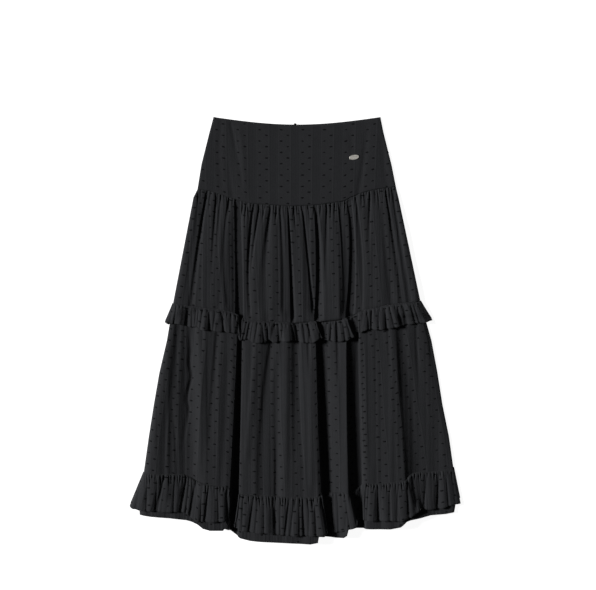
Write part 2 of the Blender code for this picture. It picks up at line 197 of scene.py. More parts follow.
def creasesAt(x, y, creases, rounded):
    # how far each point lies below the ridges, all creases added. The centre goes straight from the first point
    # to the last, plus a bow of part * (1 - part) through the middle one. The depth there times
    # (1 + cos(pi * distance / width)) / 2 falls off over the wall, and for its rounded part over the shoulder
    low = np.zeros_like(x)
    for number in range(creases["x0"].size):
        fold = {name: values[number] for name, values in creases.items()}
        length = fold["y0"] - fold["y2"]
        part = np.clip((fold["y0"] - y) / length, 0, 1)
        middle = (fold["y0"] - fold["y1"]) / length
        bulge = fold["x1"] - fold["x0"] * (1 - middle) - fold["x2"] * middle
        centre = fold["x0"] * (1 - part) + fold["x2"] * part
        centre = centre + bulge * part * (1 - part) / (middle * (1 - middle))
        deep = np.interp(part, [0, middle, 1], [fold["deep0"], fold["deep1"], fold["deep2"]])
        deep = deep * smoothStep(y, fold["y2"] - creaseForm["fadeBelow"], fold["y2"])
        deep = deep * (1 - smoothStep(y, fold["y0"], fold["y0"] + creaseForm["fadeAbove"]))
        away = x - centre
        left = fold["left0"] + (fold["left2"] - fold["left0"]) * part
        right = fold["right0"] + (fold["right2"] - fold["right0"]) * part
        floor = fold["floor0"] + (fold["floor2"] - fold["floor0"]) * part if "floor0" in fold else 0.0
        beyond = np.maximum(np.abs(away) - floor / 2, 0)
        wall = np.where(away < 0, left, right)
        steep = (1 + np.cos(math.pi * np.clip(beyond / wall, 0, 1))) / 2
        times, more = creaseForm["shoulder"]
        shoulder = (1 + np.cos(math.pi * np.clip(beyond / (times * wall + more), 0, 1))) / 2
        low += deep * (steep * (1 - rounded) + shoulder * rounded)
    return low


def pinchesAt(x, fromSeam, settings, seed):
    # short narrow folds below a gathered seam, each with its own place, depth, length and lean: depth times
    # (1 + cos(pi * distance / width)) / 2, fading out down its length
    dice = np.random.default_rng(seed)
    low = np.zeros_like(x)
    place = x.min() + pinchForm["fromEdge"]
    while place < x.max() - pinchForm["fromEdge"]:
        deep = settings["pinch"] * dice.uniform(*pinchForm["deep"])
        length = settings["pinchLength"] * dice.uniform(*pinchForm["long"])
        lean = dice.uniform(*pinchForm["lean"])
        wide = settings["pinchSpacing"] * dice.uniform(*pinchForm["wide"])
        away = x - place - lean * fromSeam
        fade = 1 - smoothStep(fromSeam, pinchForm["whole"] * length, length)
        low += deep * fade * (1 + np.cos(math.pi * np.clip(away / wide, -1, 1))) / 2
        place += settings["pinchSpacing"] * dice.uniform(*pinchForm["apart"])
    return low


def gentleWaves(x, y, size, length, seed):
    # small uneven waves that run down the cloth: the mean of a few sines across, each with its own length,
    # lean and start, times the size
    dice = np.random.default_rng(seed)
    waves = np.zeros_like(x)
    for _ in range(waveForm["count"]):
        across = length * dice.uniform(*waveForm["across"])
        lean, turn = dice.uniform(*waveForm["lean"]), dice.uniform(0, waveForm["turn"])
        waves += np.sin(x * 2 * math.pi / across + y * lean + turn) / waveForm["count"]
    return size * waves * waveForm["strength"]


def wavesAt(x, y, settings):
    # a piece's broad and fine waves, added
    return sum(gentleWaves(x, y, *wave) for wave in settings["waves"])


def foldsAt(x, y, settings):
    # a tier's creases and its steeper valleys, added
    creases = creasesAt(x, y, settings["creases"], settings["rounded"])
    return creases + creasesAt(x, y, settings["valleys"], settings["valleyRounded"])


def tuckedUnder(line, up):
    # how far the strip that runs under the piece above is sunk: 0 at the seam line, then an S curve to the depth
    return skirt["tuckDepth"] * smoothStep(up - line, *skirt["tuckRange"])


# Meshes

def addMesh(name, points, faces, uvs=None, material=None):
    # a smooth mesh object of the given points and faces, with the flat cut's places as its map
    mesh = bpy.data.meshes.new(name)
    mesh.from_pydata(points.tolist(), [], faces.tolist() if hasattr(faces, "tolist") else faces)
    if uvs is not None:
        layer = mesh.uv_layers.new(name="cut")
        corners = np.zeros(len(mesh.loops), np.int32)
        mesh.loops.foreach_get("vertex_index", corners)
        layer.data.foreach_set("uv", uvs[corners].astype(np.float32).ravel())
    mesh.polygons.foreach_set("use_smooth", np.full(len(mesh.polygons), True))
    mesh.update()
    thing = bpy.data.objects.new(name, mesh)
    bpy.context.scene.collection.objects.link(thing)
    if material is not None:
        mesh.materials.append(material)
    return thing


def toWorld(points):
    # the outline's middle moved to the origin, and millimetres made metres
    moved = np.array(points, float)
    moved[..., 0] -= skirt["shift"][0]
    moved[..., 1] -= skirt["shift"][1]
    return moved * mm


def gridFaces(rows, columns):
    # four-sided faces of a grid whose rows run down the cloth, facing up: each point with its next three
    start = (np.arange(rows - 1)[:, None] * columns + np.arange(columns - 1)).ravel()
    return np.stack((start, start + columns, start + columns + 1, start + 1), axis=1)


def addCloth(name, grid, cut, material, thickness):
    # a thin shell: the grid is its upper face, and the wall goes down from it
    rows, columns, _ = grid.shape
    sheet = addMesh(name, toWorld(grid).reshape(-1, 3), gridFaces(rows, columns), cut.reshape(-1, 2), material)
    wall = sheet.modifiers.new("cloth", "SOLIDIFY")
    wall.thickness = thickness * mm
    wall.offset = -1
    return sheet


def cutOf(grid, row):
    # places on the flat cloth in metres: across, the steps along one row added up and measured from its middle;
    # down, the steps along each column added up
    step = np.linalg.norm(np.diff(grid[row], axis=0), axis=1)
    along = np.concatenate(([0.0], np.cumsum(step)))
    along = along - along[-1] / 2
    fall = np.hypot(np.diff(grid[:, :, 0], axis=0), np.diff(grid[:, :, 1], axis=0))
    down = np.vstack((np.zeros(grid.shape[1]), np.cumsum(fall, axis=0)))
    return np.stack(np.broadcast_arrays(along[None], down), axis=2) * mm


print("shared lines ready")


# Materials

clothLook = {
    "ground": (0.0140, 0.0145, 0.0162),
    "darkBand": (0.0116, 0.0121, 0.0137),
    "edgeLine": (0.0205, 0.0212, 0.0232),
    "repeat": 43.3,                # width of one stripe repeat
    "bandStart": 100.5,            # half a repeat, and enough whole ones to stay above 0
    "stripes": (                   # colours across one repeat, by part of it
        (0.0, "darkBand"), (0.035, "darkBand"), (0.045, "ground"), (0.065, "darkBand"), (0.10, "darkBand"),
        (0.115, "ground"), (0.135, "darkBand"), (0.20, "darkBand"), (0.215, "edgeLine"), (0.235, "ground"),
        (0.765, "ground"), (0.785, "edgeLine"), (0.80, "darkBand"), (0.865, "darkBand"), (0.885, "ground"),
        (0.90, "darkBand"), (0.935, "darkBand"), (0.955, "ground"), (0.965, "darkBand"), (1.0, "darkBand"),
    ),
    "ribs": (                      # height of the ribs across one repeat, by part of it
        (0.0, 0.5), (0.04, 0.0), (0.07, 0.6), (0.115, 0.0), (0.15, 0.6), (0.215, 1.0), (0.25, 0.5), (0.75, 0.5),
        (0.785, 1.0), (0.85, 0.6), (0.885, 0.0), (0.93, 0.6), (0.96, 0.0), (1.0, 0.5),
    ),
    "weave": 0.55,                 # spacing of the threads
    "threadHeight": 0.25,          # against the ribs' 1
    "grainHeight": 0.8,
    "bump": {"Strength": 0.6, "Distance": 0.00022},
    "mottle": (90.0, 3.0),         # scale and detail of the soft mottling, and of the grain
    "grain": (900.0, 2.0),
    "shade": (0.62, 0.26, 0.5),    # parts of the colour that are even, mottled and grained
    "finish": {"Roughness": 0.88, "Specular IOR Level": 0.2, "Sheen Weight": 0.04, "Sheen Roughness": 0.45},
}

plainGrain = {
    "detail": 3.0,
    "tones": ((0.3, 0.75), (0.7, 1.25)),   # where in the noise the colour is so many times as bright
    "strength": 0.5,
}

plainLooks = {
    "dot_thread": {"colour": (0.0042, 0.0044, 0.0050), "roughness": 0.9, "shine": 0.08},
    "plate_metal": {"colour": (0.80, 0.77, 0.71), "roughness": 0.5, "metallic": 1.0, "grain": 400.0, "deep": 0.00002},
    "hook_metal": {"colour": (0.05, 0.05, 0.05), "roughness": 0.35, "metallic": 1.0},
    "zip_tape": {"colour": (0.012, 0.012, 0.013), "roughness": 0.7},
}


def addNode(tree, kind, inputs=(), **settings):
    # a shader node with its settings made and its inputs filled, by a link where the value is another's output
    made = tree.nodes.new(kind)
    for name, value in settings.items():
        setattr(made, name, value)
    for place, value in dict(inputs).items():
        if isinstance(value, bpy.types.NodeSocket):
            tree.links.new(value, made.inputs[place])
        else:
            made.inputs[place].default_value = value
    return made


def mathOf(tree, operation, first, second=0.0):
    # one step of arithmetic on two values
    return addNode(tree, "ShaderNodeMath", {0: first, 1: second}, operation=operation).outputs[0]


def noiseAt(tree, place, scale, detail):
    # cloudy noise between 0 and 1, so many clouds to a metre
    return addNode(tree, "ShaderNodeTexNoise", {"Vector": place, "Scale": scale, "Detail": detail}).outputs[0]


def rampOf(tree, factor, stops):
    # colours blended straight from stop to stop
    made = addNode(tree, "ShaderNodeValToRGB", {0: factor})
    elements = made.color_ramp.elements
    while len(elements) > 1:
        elements.remove(elements[-1])
    for number, (place, colour) in enumerate(stops):
        stop = elements[0] if number == 0 else elements.new(place)
        stop.position = place
        stop.color = (*colour, 1)
    return made.outputs[0]


def newMaterial(name, finish):
    # an empty material whose shader has the given plain values
    material = bpy.data.materials.new(name)
    material.use_nodes = True
    tree = material.node_tree
    shader = tree.nodes["Principled BSDF"]
    for socket, value in finish.items():
        shader.inputs[socket].default_value = value
    return material, tree, shader


def clothMaterial(name):
    # striped dobby cloth: the stripe's colour times the even, mottled and grained shares added, and a height of
    # the ribs, plus sin(across) * sin(down) for the threads, plus the grain
    look = clothLook
    material, tree, shader = newMaterial(name, look["finish"])
    place = addNode(tree, "ShaderNodeUVMap", uv_map="cut").outputs[0]
    split = addNode(tree, "ShaderNodeSeparateXYZ", {0: place})
    repeats = mathOf(tree, "MULTIPLY", split.outputs[0], 1 / (look["repeat"] * mm))
    band = mathOf(tree, "FRACT", mathOf(tree, "ADD", repeats, look["bandStart"]))
    colour = rampOf(tree, band, [(part, look[tone]) for part, tone in look["stripes"]])
    body = addNode(tree, "ShaderNodeTexCoord").outputs["Object"]
    mottle, grain = noiseAt(tree, body, *look["mottle"]), noiseAt(tree, place, *look["grain"])
    even, mottled, grained = look["shade"]
    shade = mathOf(tree, "ADD", mathOf(tree, "MULTIPLY", mottle, mottled), mathOf(tree, "MULTIPLY", grain, grained))
    shade = mathOf(tree, "ADD", shade, even)
    mixed = addNode(tree, "ShaderNodeVectorMath", {0: colour, 1: shade}, operation="MULTIPLY").outputs[0]
    tree.links.new(mixed, shader.inputs["Base Color"])
    turns = 2 * math.pi / (look["weave"] * mm)
    warp = mathOf(tree, "SINE", mathOf(tree, "MULTIPLY", split.outputs[0], turns))
    weft = mathOf(tree, "SINE", mathOf(tree, "MULTIPLY", split.outputs[1], turns))
    threads = mathOf(tree, "MULTIPLY", mathOf(tree, "MULTIPLY", warp, weft), look["threadHeight"])
    ribs = rampOf(tree, band, [(part, (height,) * 3) for part, height in look["ribs"]])
    height = mathOf(tree, "ADD", threads, ribs)
    height = mathOf(tree, "ADD", height, mathOf(tree, "MULTIPLY", grain, look["grainHeight"]))
    bump = addNode(tree, "ShaderNodeBump", {"Height": height, **look["bump"]})
    tree.links.new(bump.outputs[0], shader.inputs["Normal"])
    return material


def plainMaterial(name, colour, roughness, metallic=0.0, grain=2500.0, deep=0.00005, shine=0.5):
    # one colour, made darker and lighter by a fine uneven grain, which also raises its surface
    finish = {"Roughness": roughness, "Metallic": metallic, "Specular IOR Level": shine}
    material, tree, shader = newMaterial(name, finish)
    body = addNode(tree, "ShaderNodeTexCoord").outputs["Object"]
    clouds = noiseAt(tree, body, grain, plainGrain["detail"])
    tones = [(part, tuple(share * times for share in colour)) for part, times in plainGrain["tones"]]
    tree.links.new(rampOf(tree, clouds, tones), shader.inputs["Base Color"])
    bump = addNode(tree, "ShaderNodeBump", {"Height": clouds, "Strength": plainGrain["strength"],
                                              "Distance": deep})
    tree.links.new(bump.outputs[0], shader.inputs["Normal"])
    return material


clothMaterials = {name: clothMaterial(name) for name in ("dotted_cotton", "ruffle_cotton")}
plainMaterials = {name: plainMaterial(name, **look) for name, look in plainLooks.items()}
print("materials ready")


# Upper tier: gathered into the yoke seam, its folds open towards the mid seam

upperTier = {
    "columns": 520,
    "rows": 84,
    "rowPower": 1.15,              # above 1 the rows are closer at the seam
    "evenAt": (160, 165),          # distance up of the row in which the columns are evenly spaced, at both edges
    "evenRoll": 8.0,
    "crest": table("part height", (0, 5.8), (0.06, 8.6), (0.4, 11.5), (1, 14.5)),
    "lowest": 3.2,
    "heldFlat": 0.4,               # how much of a crease is left where the seam holds it
    "puff": 14.0,                  # distance over which the gathers stand up
    "pinch": 1.5,                  # the smallest gathers in the seam
    "pinchSpacing": 6.0,
    "pinchLength": 26.0,
    "seed": 31,
    "waves": ((0.8, 30.0, 3), (0.22, 8.0, 4)),   # size, length and seed of the broad waves and of the fine ones
    "dipFrom": 0.98,               # part of the way down where the stitches of the ruffle's seam pull it in
    "rounded": 0.3,                # shares of the creases and of the valleys that are wide shoulders
    "valleyRounded": 0.12,
    "cut": (0.66, 0.26),
    "cutArea": 0.150,
    "valleys": table(
        "x0 y0 x1 y1 x2 y2 deep0 deep1 deep2 left0 right0 left2 right2 floor0 floor2",
        (-115, 254, -112, 180, -109.5, 30, 6.5, 9.5, 12.0, 6, 3, 7, 3, 5, 9),
        (-15, 244, -11, 176, -5, 30, 4.5, 6.0, 8.5, 2.2, 2.5, 4, 5, 0, 3),
        (40, 244, 45, 180, 43, 30, 4.0, 6.5, 9.5, 4, 5, 4, 14, 1, 4),
        (110, 254, 115, 150, 110, 30, 4.5, 7.0, 9.0, 4, 3, 6, 4, 3, 9),
        (106, 254, 112, 150, 114, 30, 1.0, 1.5, 2.0, 12, 30, 30, 44, 1, 1),
    ),
    "creases": table(
        "x0 y0 x1 y1 x2 y2 deep0 deep1 deep2 left0 right0 left2 right2",
        (-192, 276, -200, 200, -224, 60, 1.5, 1.0, 0.8, 4, 6, 8, 10),
        (-176, 276, -187, 208, -207, 52, 4.5, 6.0, 5.0, 4, 4, 8, 8),
        (-186, 210, -192, 170, -206, 60, -0.8, -1.6, -1.2, 8, 4, 8, 5),
        (-149, 216, -150, 170, -156, 60, -0.6, -1.8, -1.0, 9, 5, 9, 6),
        (-169, 274, -172, 250, -174, 228, 2.0, 1.0, 0.0, 3, 3, 3, 3),
        (-157, 270, -161, 218, -168, 100, 3.0, 3.2, 0.5, 4, 4, 5, 7),
        (-149, 268, -151, 240, -158, 160, 2.5, 1.8, 0.5, 3, 3, 6, 6),
        (-132, 262, -139, 216, -136, 60, 3.0, 2.2, 1.5, 3, 5, 5, 12),
        (-120, 230, -119, 170, -117, 40, 0.8, 2.2, 2.2, 18, 24, 20, 30),
        (-111, 254, -114, 236, -115, 214, 3.0, 2.0, 0.3, 2.5, 2.5, 3, 3),
        (-103, 254, -109, 216, -109, 130, 3.5, 3.0, 1.0, 3, 3, 5, 7),
        (-97, 252, -100, 228, -101, 200, 3.5, 2.0, 0.0, 2.5, 2.5, 3, 3),
        (-119, 210, -119, 150, -118, 40, 0.6, 1.8, 1.4, 20, 12, 22, 12),
        (-83, 250, -90, 190, -90, 40, 4.5, 4.8, 2.6, 3.5, 4, 8, 2.5),
        (-71, 248, -79, 196, -88, 126, 4.5, 3.8, 1.5, 3.5, 3, 5, 3),
        (-60, 246, -64, 230, -68, 206, 3.0, 2.0, 0.0, 3, 3, 4, 4),
        (-49, 244, -55, 196, -64, 50, 4.0, 3.8, 2.0, 3, 4, 18, 12),
        (-38.6, 244, -39, 228, -40, 206, 4.0, 3.0, 0.0, 2.5, 2.5, 3, 3),
        (-31, 242, -27, 190, -24, 46, 3.5, 3.0, 2.8, 3, 5, 8, 10),
        (-24, 242, -23, 230, -22, 214, 2.0, 1.0, 0.0, 2.5, 2.5, 3, 3),
        (-2.6, 244, -1.4, 224, 0, 198, 4.0, 3.0, 0.0, 2.5, 2.5, 3, 3),
        (7, 244, 8.6, 230, 10, 210, 3.0, 2.0, 0.0, 2.5, 2.5, 3, 3),
        (14, 244, 22, 174, 35, 46, 4.5, 4.5, 4.0, 3, 3.5, 5, 5),
        (26, 244, 28, 226, 29, 202, 2.5, 1.5, 0.0, 2.5, 2.5, 3, 3),
        (51, 244, 50, 232, 50, 214, 3.0, 1.5, 0.0, 2.5, 2.5, 3, 3),
        (63, 248, 62, 196, 60, 100, 3.0, 2.6, 1.0, 3, 4, 6, 8),
        (71, 250, 71, 234, 70, 218, 3.5, 2.5, 0.0, 2.2, 2.2, 3, 3),
        (79, 250, 79, 230, 77, 202, 3.0, 1.5, 0.0, 2.5, 2.5, 3, 4),
        (87, 250, 93, 188, 98, 44, 4.0, 3.0, 2.6, 3, 12, 6, 30),
        (44, 190, 45, 130, 43, 46, 0.5, 2.4, 3.0, 16, 3, 20, 3),
        (-12, 160, -9, 100, -5, 34, 0.4, 2.4, 4.0, 22, 3, 26, 3),
        (94.6, 256, 94, 244, 94, 230, 3.0, 1.5, 0.0, 2, 2, 3, 3),
        (86, 190, 87, 110, 88, 34, -0.4, -1.4, -2.4, 9, 4, 11, 4),
        (104, 252, 108, 228, 112, 202, 3.0, 2.5, 1.0, 2.5, 2.5, 3, 3),
        (121, 262, 131, 180, 133, 40, 3.5, 4.5, 4.5, 3, 2.5, 24, 2.2),
        (132, 266, 132, 252, 132, 234, 3.0, 2.0, 0.0, 2, 2, 3, 3),
        (139, 266, 139, 254, 139, 242, 3.0, 1.5, 0.0, 2, 2, 3, 3),
        (149.4, 268, 148.6, 236, 146, 170, 4.0, 3.0, 0.6, 3, 2.5, 7, 6),
        (159.4, 274, 160, 262, 160, 246, 3.5, 2.0, 0.0, 2, 2, 3, 3),
        (164.6, 276, 166.6, 254, 167, 234, 3.0, 2.0, 0.0, 2, 2, 3, 3),
        (173, 276, 178, 180, 194, 50, 0.8, 1.8, 1.4, 6, 6, 10, 10),
        (179.4, 284, 193, 200, 214, 50, 4.5, 3.5, 2.0, 3, 3, 10, 8),
        (193.4, 282, 205, 204, 228, 52, 2.5, 3.0, 2.0, 4, 4, 9, 8),
    ),
}


def upperHeight(x, y, part, fromSeam, columns):
    # the crest less the creases and the gathers at the seam, plus the waves, and never under the lowest height;
    # creases and waves grow from their held share at the seam to the whole over the puff
    settings = upperTier
    crest = np.interp(part, settings["crest"]["part"], settings["crest"]["height"])
    held = np.clip(settings["heldFlat"] + fromSeam / settings["puff"], settings["heldFlat"], 1)
    low = foldsAt(x, y, settings) * held + pinchesAt(x, fromSeam, settings, settings["seed"])
    heights = np.maximum(crest - low + wavesAt(x, y, settings) * held, settings["lowest"])
    heights = heights - tuckedUnder(0, -fromSeam) - skirt["seamDip"] * smoothStep(part, settings["dipFrom"], 1)
    return rollDown(columns, heights, skirt["sideEdge"])


def makeUpperTier():
    # a grid between the yoke seam and the mid seam: places up and across are blended straight from one seam to
    # the other, and the heights come from upperHeight
    settings = upperTier
    half = skirt["gap"] / 2
    yokeParts, midParts = knotParts("yokeSeam"), knotParts("midSeam")
    evenParts = (yokeParts + midParts) / 2
    columns = evenColumns(settings["columns"], settings["evenAt"], evenParts, settings["evenRoll"])
    part = (np.linspace(0, 1, settings["rows"]) ** settings["rowPower"])[:, None]
    line, low = lineOf("yokeSeam", columns), lineOf("midSeam", columns) + half
    top = line + skirt["tuck"]
    up = top + (low - top) * part
    roll = skirt["rollYoke"] + (skirt["rollMid"] - skirt["rollYoke"]) * part
    across = acrossRows(columns, up, yokeParts + (midParts - yokeParts) * part, roll)
    heights = upperHeight(across, up, part, line - up, columns)
    grid = np.stack((across, up, heights), axis=2)
    return grid, cutOf(grid, -1)


# Lower tier: its folds deepen towards the hem

lowerTier = {
    "columns": 520,
    "rows": 92,
    "evenAt": (-160, -150),
    "evenRoll": 15.0,
    "crest": table("part height", (0, 14), (0.15, 16.5), (0.6, 21), (1, 24)),
    "lowest": 3.9,
    "waves": ((0.8, 36.0, 8), (0.22, 9.0, 9)),
    "turned": (0.945, 0.96),       # parts of the way down between which the turned hem begins
    "turnedRise": 0.35,
    "turnedRibs": (0.3, 5.0, 10),  # size, length and seed of the ribs that the turning draws into the hem
    "rounded": 0.3,
    "valleyRounded": 0.12,
    "cut": (0.92, 0.45),
    "cutArea": 0.330,
    "cutRow": -12,                 # row along which the cut's width is measured
    "valleys": table(
        "x0 y0 x1 y1 x2 y2 deep0 deep1 deep2 left0 right0 left2 right2 floor0 floor2",
        (-109, 20, -113, -130, -124, -440, 9, 15, 19, 4, 3, 6, 2.5, 3, 14),
        (4, 20, 6, -110, 8, -250, 7.0, 6.5, 2.0, 20, 6, 26, 12, 1, 1),
        (44, 20, 48.5, -140, 64, -440, 9, 13.5, 16, 3, 34, 2.5, 44, 2, 5),
        (116, 24, 118, -160, 127, -440, 6, 10, 11, 7, 3, 7, 3, 17, 22),
        (124, 24, 128, -160, 138, -440, 4, 7, 8, 24, 3, 30, 3, 1, 2),
        (203, 20, 213, -120, 227, -340, 1.5, 3.2, 2.8, 8, 40, 8, 44, 0, 0),
        (214, 20, 232, -120, 252, -360, 4, 8.5, 10, 24, 90, 34, 90, 0, 2),
    ),
    "creases": table(
        "x0 y0 x1 y1 x2 y2 deep0 deep1 deep2 left0 right0 left2 right2",
        (-232, 20, -244, -130, -242, -330, 2.6, 3.2, 2.8, 10, 10, 12, 14),
        (-250, -120, -258, -190, -262, -300, 0.5, 1.8, 1.4, 12, 6, 14, 6),
        (-244, -160, -240, -210, -236, -300, 0.3, 1.8, 1.4, 4, 8, 5, 9),
        (-205, 30, -209, -90, -206, -330, 5.0, 9.5, 7.5, 42, 12, 48, 26),
        (-196, 10, -188, -110, -198, -280, -1.0, -2.4, -2.2, 6, 12, 10, 14),
        (-153, 10, -161, -80, -170, -220, 3.4, 3.0, 1.0, 7, 10, 9, 16),
        (-181, 10, -184, -60, -192, -180, -0.9, -1.3, -0.6, 4, 8, 6, 8),
        (-134, -60, -140, -180, -148, -310, 0.8, 1.2, 1.2, 10, 12, 10, 12),
        (-78, -10, -86, -110, -98, -250, -1.4, -2.2, -1.6, 7, 12, 7, 12),
        (-42, 6, -58, -100, -70, -330, 4.0, 3.0, 2.0, 8, 14, 10, 18),
        (-34, -10, -36, -120, -38, -330, 1.5, 5.0, 4.5, 46, 12, 48, 14),
        (-38, -210, -38, -260, -40, -380, 0.5, 2.0, 2.4, 5, 12, 5, 12),
        (-20, -20, -18, -120, -22, -300, -1.0, -1.4, -1.0, 8, 14, 8, 14),
        (20, -10, 26, -100, 32, -300, -1.0, -1.8, -1.8, 9, 14, 9, 14),
        (25, 6, 26, -40, 28, -90, 2.4, 2.0, 0.0, 3, 5, 4, 5),
        (82, 6, 85, -60, 85, -116, 3.0, 2.6, 0.5, 4, 6, 6, 6),
        (84, -130, 84, -220, 86, -340, 0.5, 1.5, 1.5, 14, 16, 14, 16),
        (160, 10, 166, -120, 172, -300, 0.5, 1.1, 1.0, 20, 24, 20, 24),
        (184, 10, 186, -40, 190, -120, 1.4, 1.2, 0.4, 4, 7, 6, 7),
        (144, 0, 146, -80, 150, -260, 0.6, 0.9, 0.9, 7, 9, 8, 10),
        (240, 20, 243, -50, 247, -110, 1.6, 1.6, 0.2, 6, 5, 6, 5),
        (260, 20, 270, -40, 280, -112, 2.4, 2.0, 0.5, 5, 7, 8, 10),
        (288, -60, 296, -160, 306, -280, 0.5, 1.0, 1.0, 10, 8, 10, 8),
        (-290, -310, -290, -350, -292, -380, 0.4, 1.2, 1.2, 9, 9, 9, 9),
        (-178, -330, -176, -360, -174, -400, 0.6, 1.4, 1.6, 10, 12, 10, 12),
        (-30, -330, -28, -380, -26, -430, 0.6, 1.2, 1.6, 10, 12, 10, 12),
        (166, -330, 168, -360, 170, -400, 0.6, 1.2, 1.6, 10, 12, 10, 12),
    ),
    "tilt": table(                 # broad slopes of the panels between the valleys, over the whole height
        "x raised",
        (-312, 0.0), (-262, 1.5), (-200, -1.5), (-180, 1.0), (-112, -0.5), (-104, -1.0), (-80, 1.0), (-30, 0.5),
        (-6, 0.5), (16, -1.0), (44, 2.0), (64, -3.0), (92, -1.5), (101, 1.6), (108, 1.6), (136, -1.0),
        (206, 1.8), (238, 0.0), (300, -11.0), (316, -11.5),
    ),
    "crooked": table(              # one bent crease on the left, with its bright edge to the right
        "y x deep",
        (40, -208, 0), (0, -210, 0), (-24, -209, 1.6), (-44, -208, 2.4), (-60, -210, 2.6), (-74, -209, 2.8),
        (-86, -205, 3.2), (-96, -205, 3.2), (-106, -208, 3.0), (-118, -212, 2.8), (-134, -215, 2.6),
        (-148, -214, 2.4), (-156, -212, 2.2), (-174, -214, 1.6), (-210, -220, 0.6), (-260, -230, 0),
    ),
    "crookedWalls": (9.0, 4.5),    # width of its left and its right wall
    "hem": table(                  # the lower edge, with the steps where folds lie over each other
        "x y",
        (-314, -368), (-290, -372), (-250, -375), (-216, -379), (-206, -382), (-194, -388), (-184, -396),
        (-170, -400), (-144, -400), (-141, -396), (-130, -400), (-120, -408), (-110, -415), (-90, -420),
        (-70, -422), (-30, -424), (10, -426), (30, -427), (45, -424), (47, -412), (70, -414), (80, -415),
        (96, -415), (103, -410), (106, -398), (122, -396), (150, -397), (190, -397), (210, -393), (216, -388),
        (222, -382), (230, -379), (250, -375), (270, -370), (300, -368), (322, -364), (326, -356),
    ),
}


def lowerHeight(x, y, part, columns):
    # the crest less the creases and the bent crease, plus the waves and the panels' slopes, and never under the
    # lowest height; the turned hem stands a little higher and is ribbed
    settings = lowerTier
    crest = np.interp(part, settings["crest"]["part"], settings["crest"]["height"])
    low = foldsAt(x, y, settings)
    bent = settings["crooked"]
    away = x - np.interp(-y, -bent["y"], bent["x"])
    wall = np.where(away < 0, *settings["crookedWalls"])
    low += np.interp(-y, -bent["y"], bent["deep"]) * (1 + np.cos(math.pi * np.clip(away / wall, -1, 1))) / 2
    ribs = settings["turnedRise"] + gentleWaves(x, y, *settings["turnedRibs"])
    waves = wavesAt(x, y, settings) + smoothStep(part, *settings["turned"]) * ribs
    tilt = np.interp(x, settings["tilt"]["x"], settings["tilt"]["raised"])
    return rollDown(columns, np.maximum(crest - low + waves + tilt, settings["lowest"]), skirt["sideEdge"])


def lowerPoints(columns, up):
    # the tier's surface at the given columns and distances up: places across are blended straight from the mid
    # seam to the hem, row by row, and the heights come from lowerHeight
    midSeam, hem = lineOf("midSeam", columns), lineOf("hem", columns)
    part = (midSeam - up) / (midSeam - hem)
    midParts, hemParts = knotParts("midSeam"), knotParts("hem")
    row = part.mean(axis=1, keepdims=True)
    roll = skirt["rollMid"] + (skirt["rollHem"] - skirt["rollMid"]) * row
    across = acrossRows(columns, up, midParts + (hemParts - midParts) * row, roll)
    return np.stack((across, up, lowerHeight(across, up, part, columns)), axis=2)


def makeLowerTier():
    # a grid from under the mid seam down to the hem's own edge, which is looked up at each column's place there
    settings = lowerTier
    evenParts = (knotParts("midSeam") + knotParts("hem")) / 2
    columns = evenColumns(settings["columns"], settings["evenAt"], evenParts, settings["evenRoll"])
    part = np.linspace(0, 1, settings["rows"])[:, None]
    line = lineOf("midSeam", columns)
    top = line + skirt["tuck"]
    level = lineOf("hem", columns)[None]
    hemX = acrossRows(columns, level, knotParts("hem")[None], skirt["rollHem"])[0]
    low = np.interp(hemX, settings["hem"]["x"], settings["hem"]["y"])
    grid = lowerPoints(columns, top + (low - top) * part)
    grid[:, :, 2] = np.maximum(grid[:, :, 2] - tuckedUnder(line, grid[:, :, 1]), skirt["sideEdge"])
    return grid, cutOf(grid, settings["cutRow"])


# Ruffles: each lies on the lower tier, and broad flutes stand between its narrow valleys

ruffleForm = {
    "rowPower": 1.3,
    "evenRoll": 13.0,              # roll of its edges where the columns are spaced, and where they then lie
    "roll": 14.0,
    "tipReach": 30.0,              # how far inwards the swing of its ends is felt
    "outside": 1.4,                # how far its sides lie out from the tier's
    "steepest": 4.0,               # slope of the tier up to which more room is left under the ruffle
    "room": 0.5,
    "troughWidth": (0.45, 0.55),   # at the seam, and how much more at the free edge, as parts of the half width
    "shoulder": 2.8,               # a trough's shoulder is so many times as wide
    "level": 0.6,                  # where between trough and flute the free edge keeps its place
    "turnedStep": 0.6,             # half the distance over which the turned edge steps up
    "sidePower": 1.2,              # powers of the part of the way down, by which the free edge moves sideways
    "flutePower": 0.7,             # and by which the flutes grow
    "pinchFade": 4.0,              # how fast the gathers' height fades on the way down
    "seamStart": -0.5,             # from here to the seam's reach the ruffle stands up
    "dipWidth": 3.0,
}

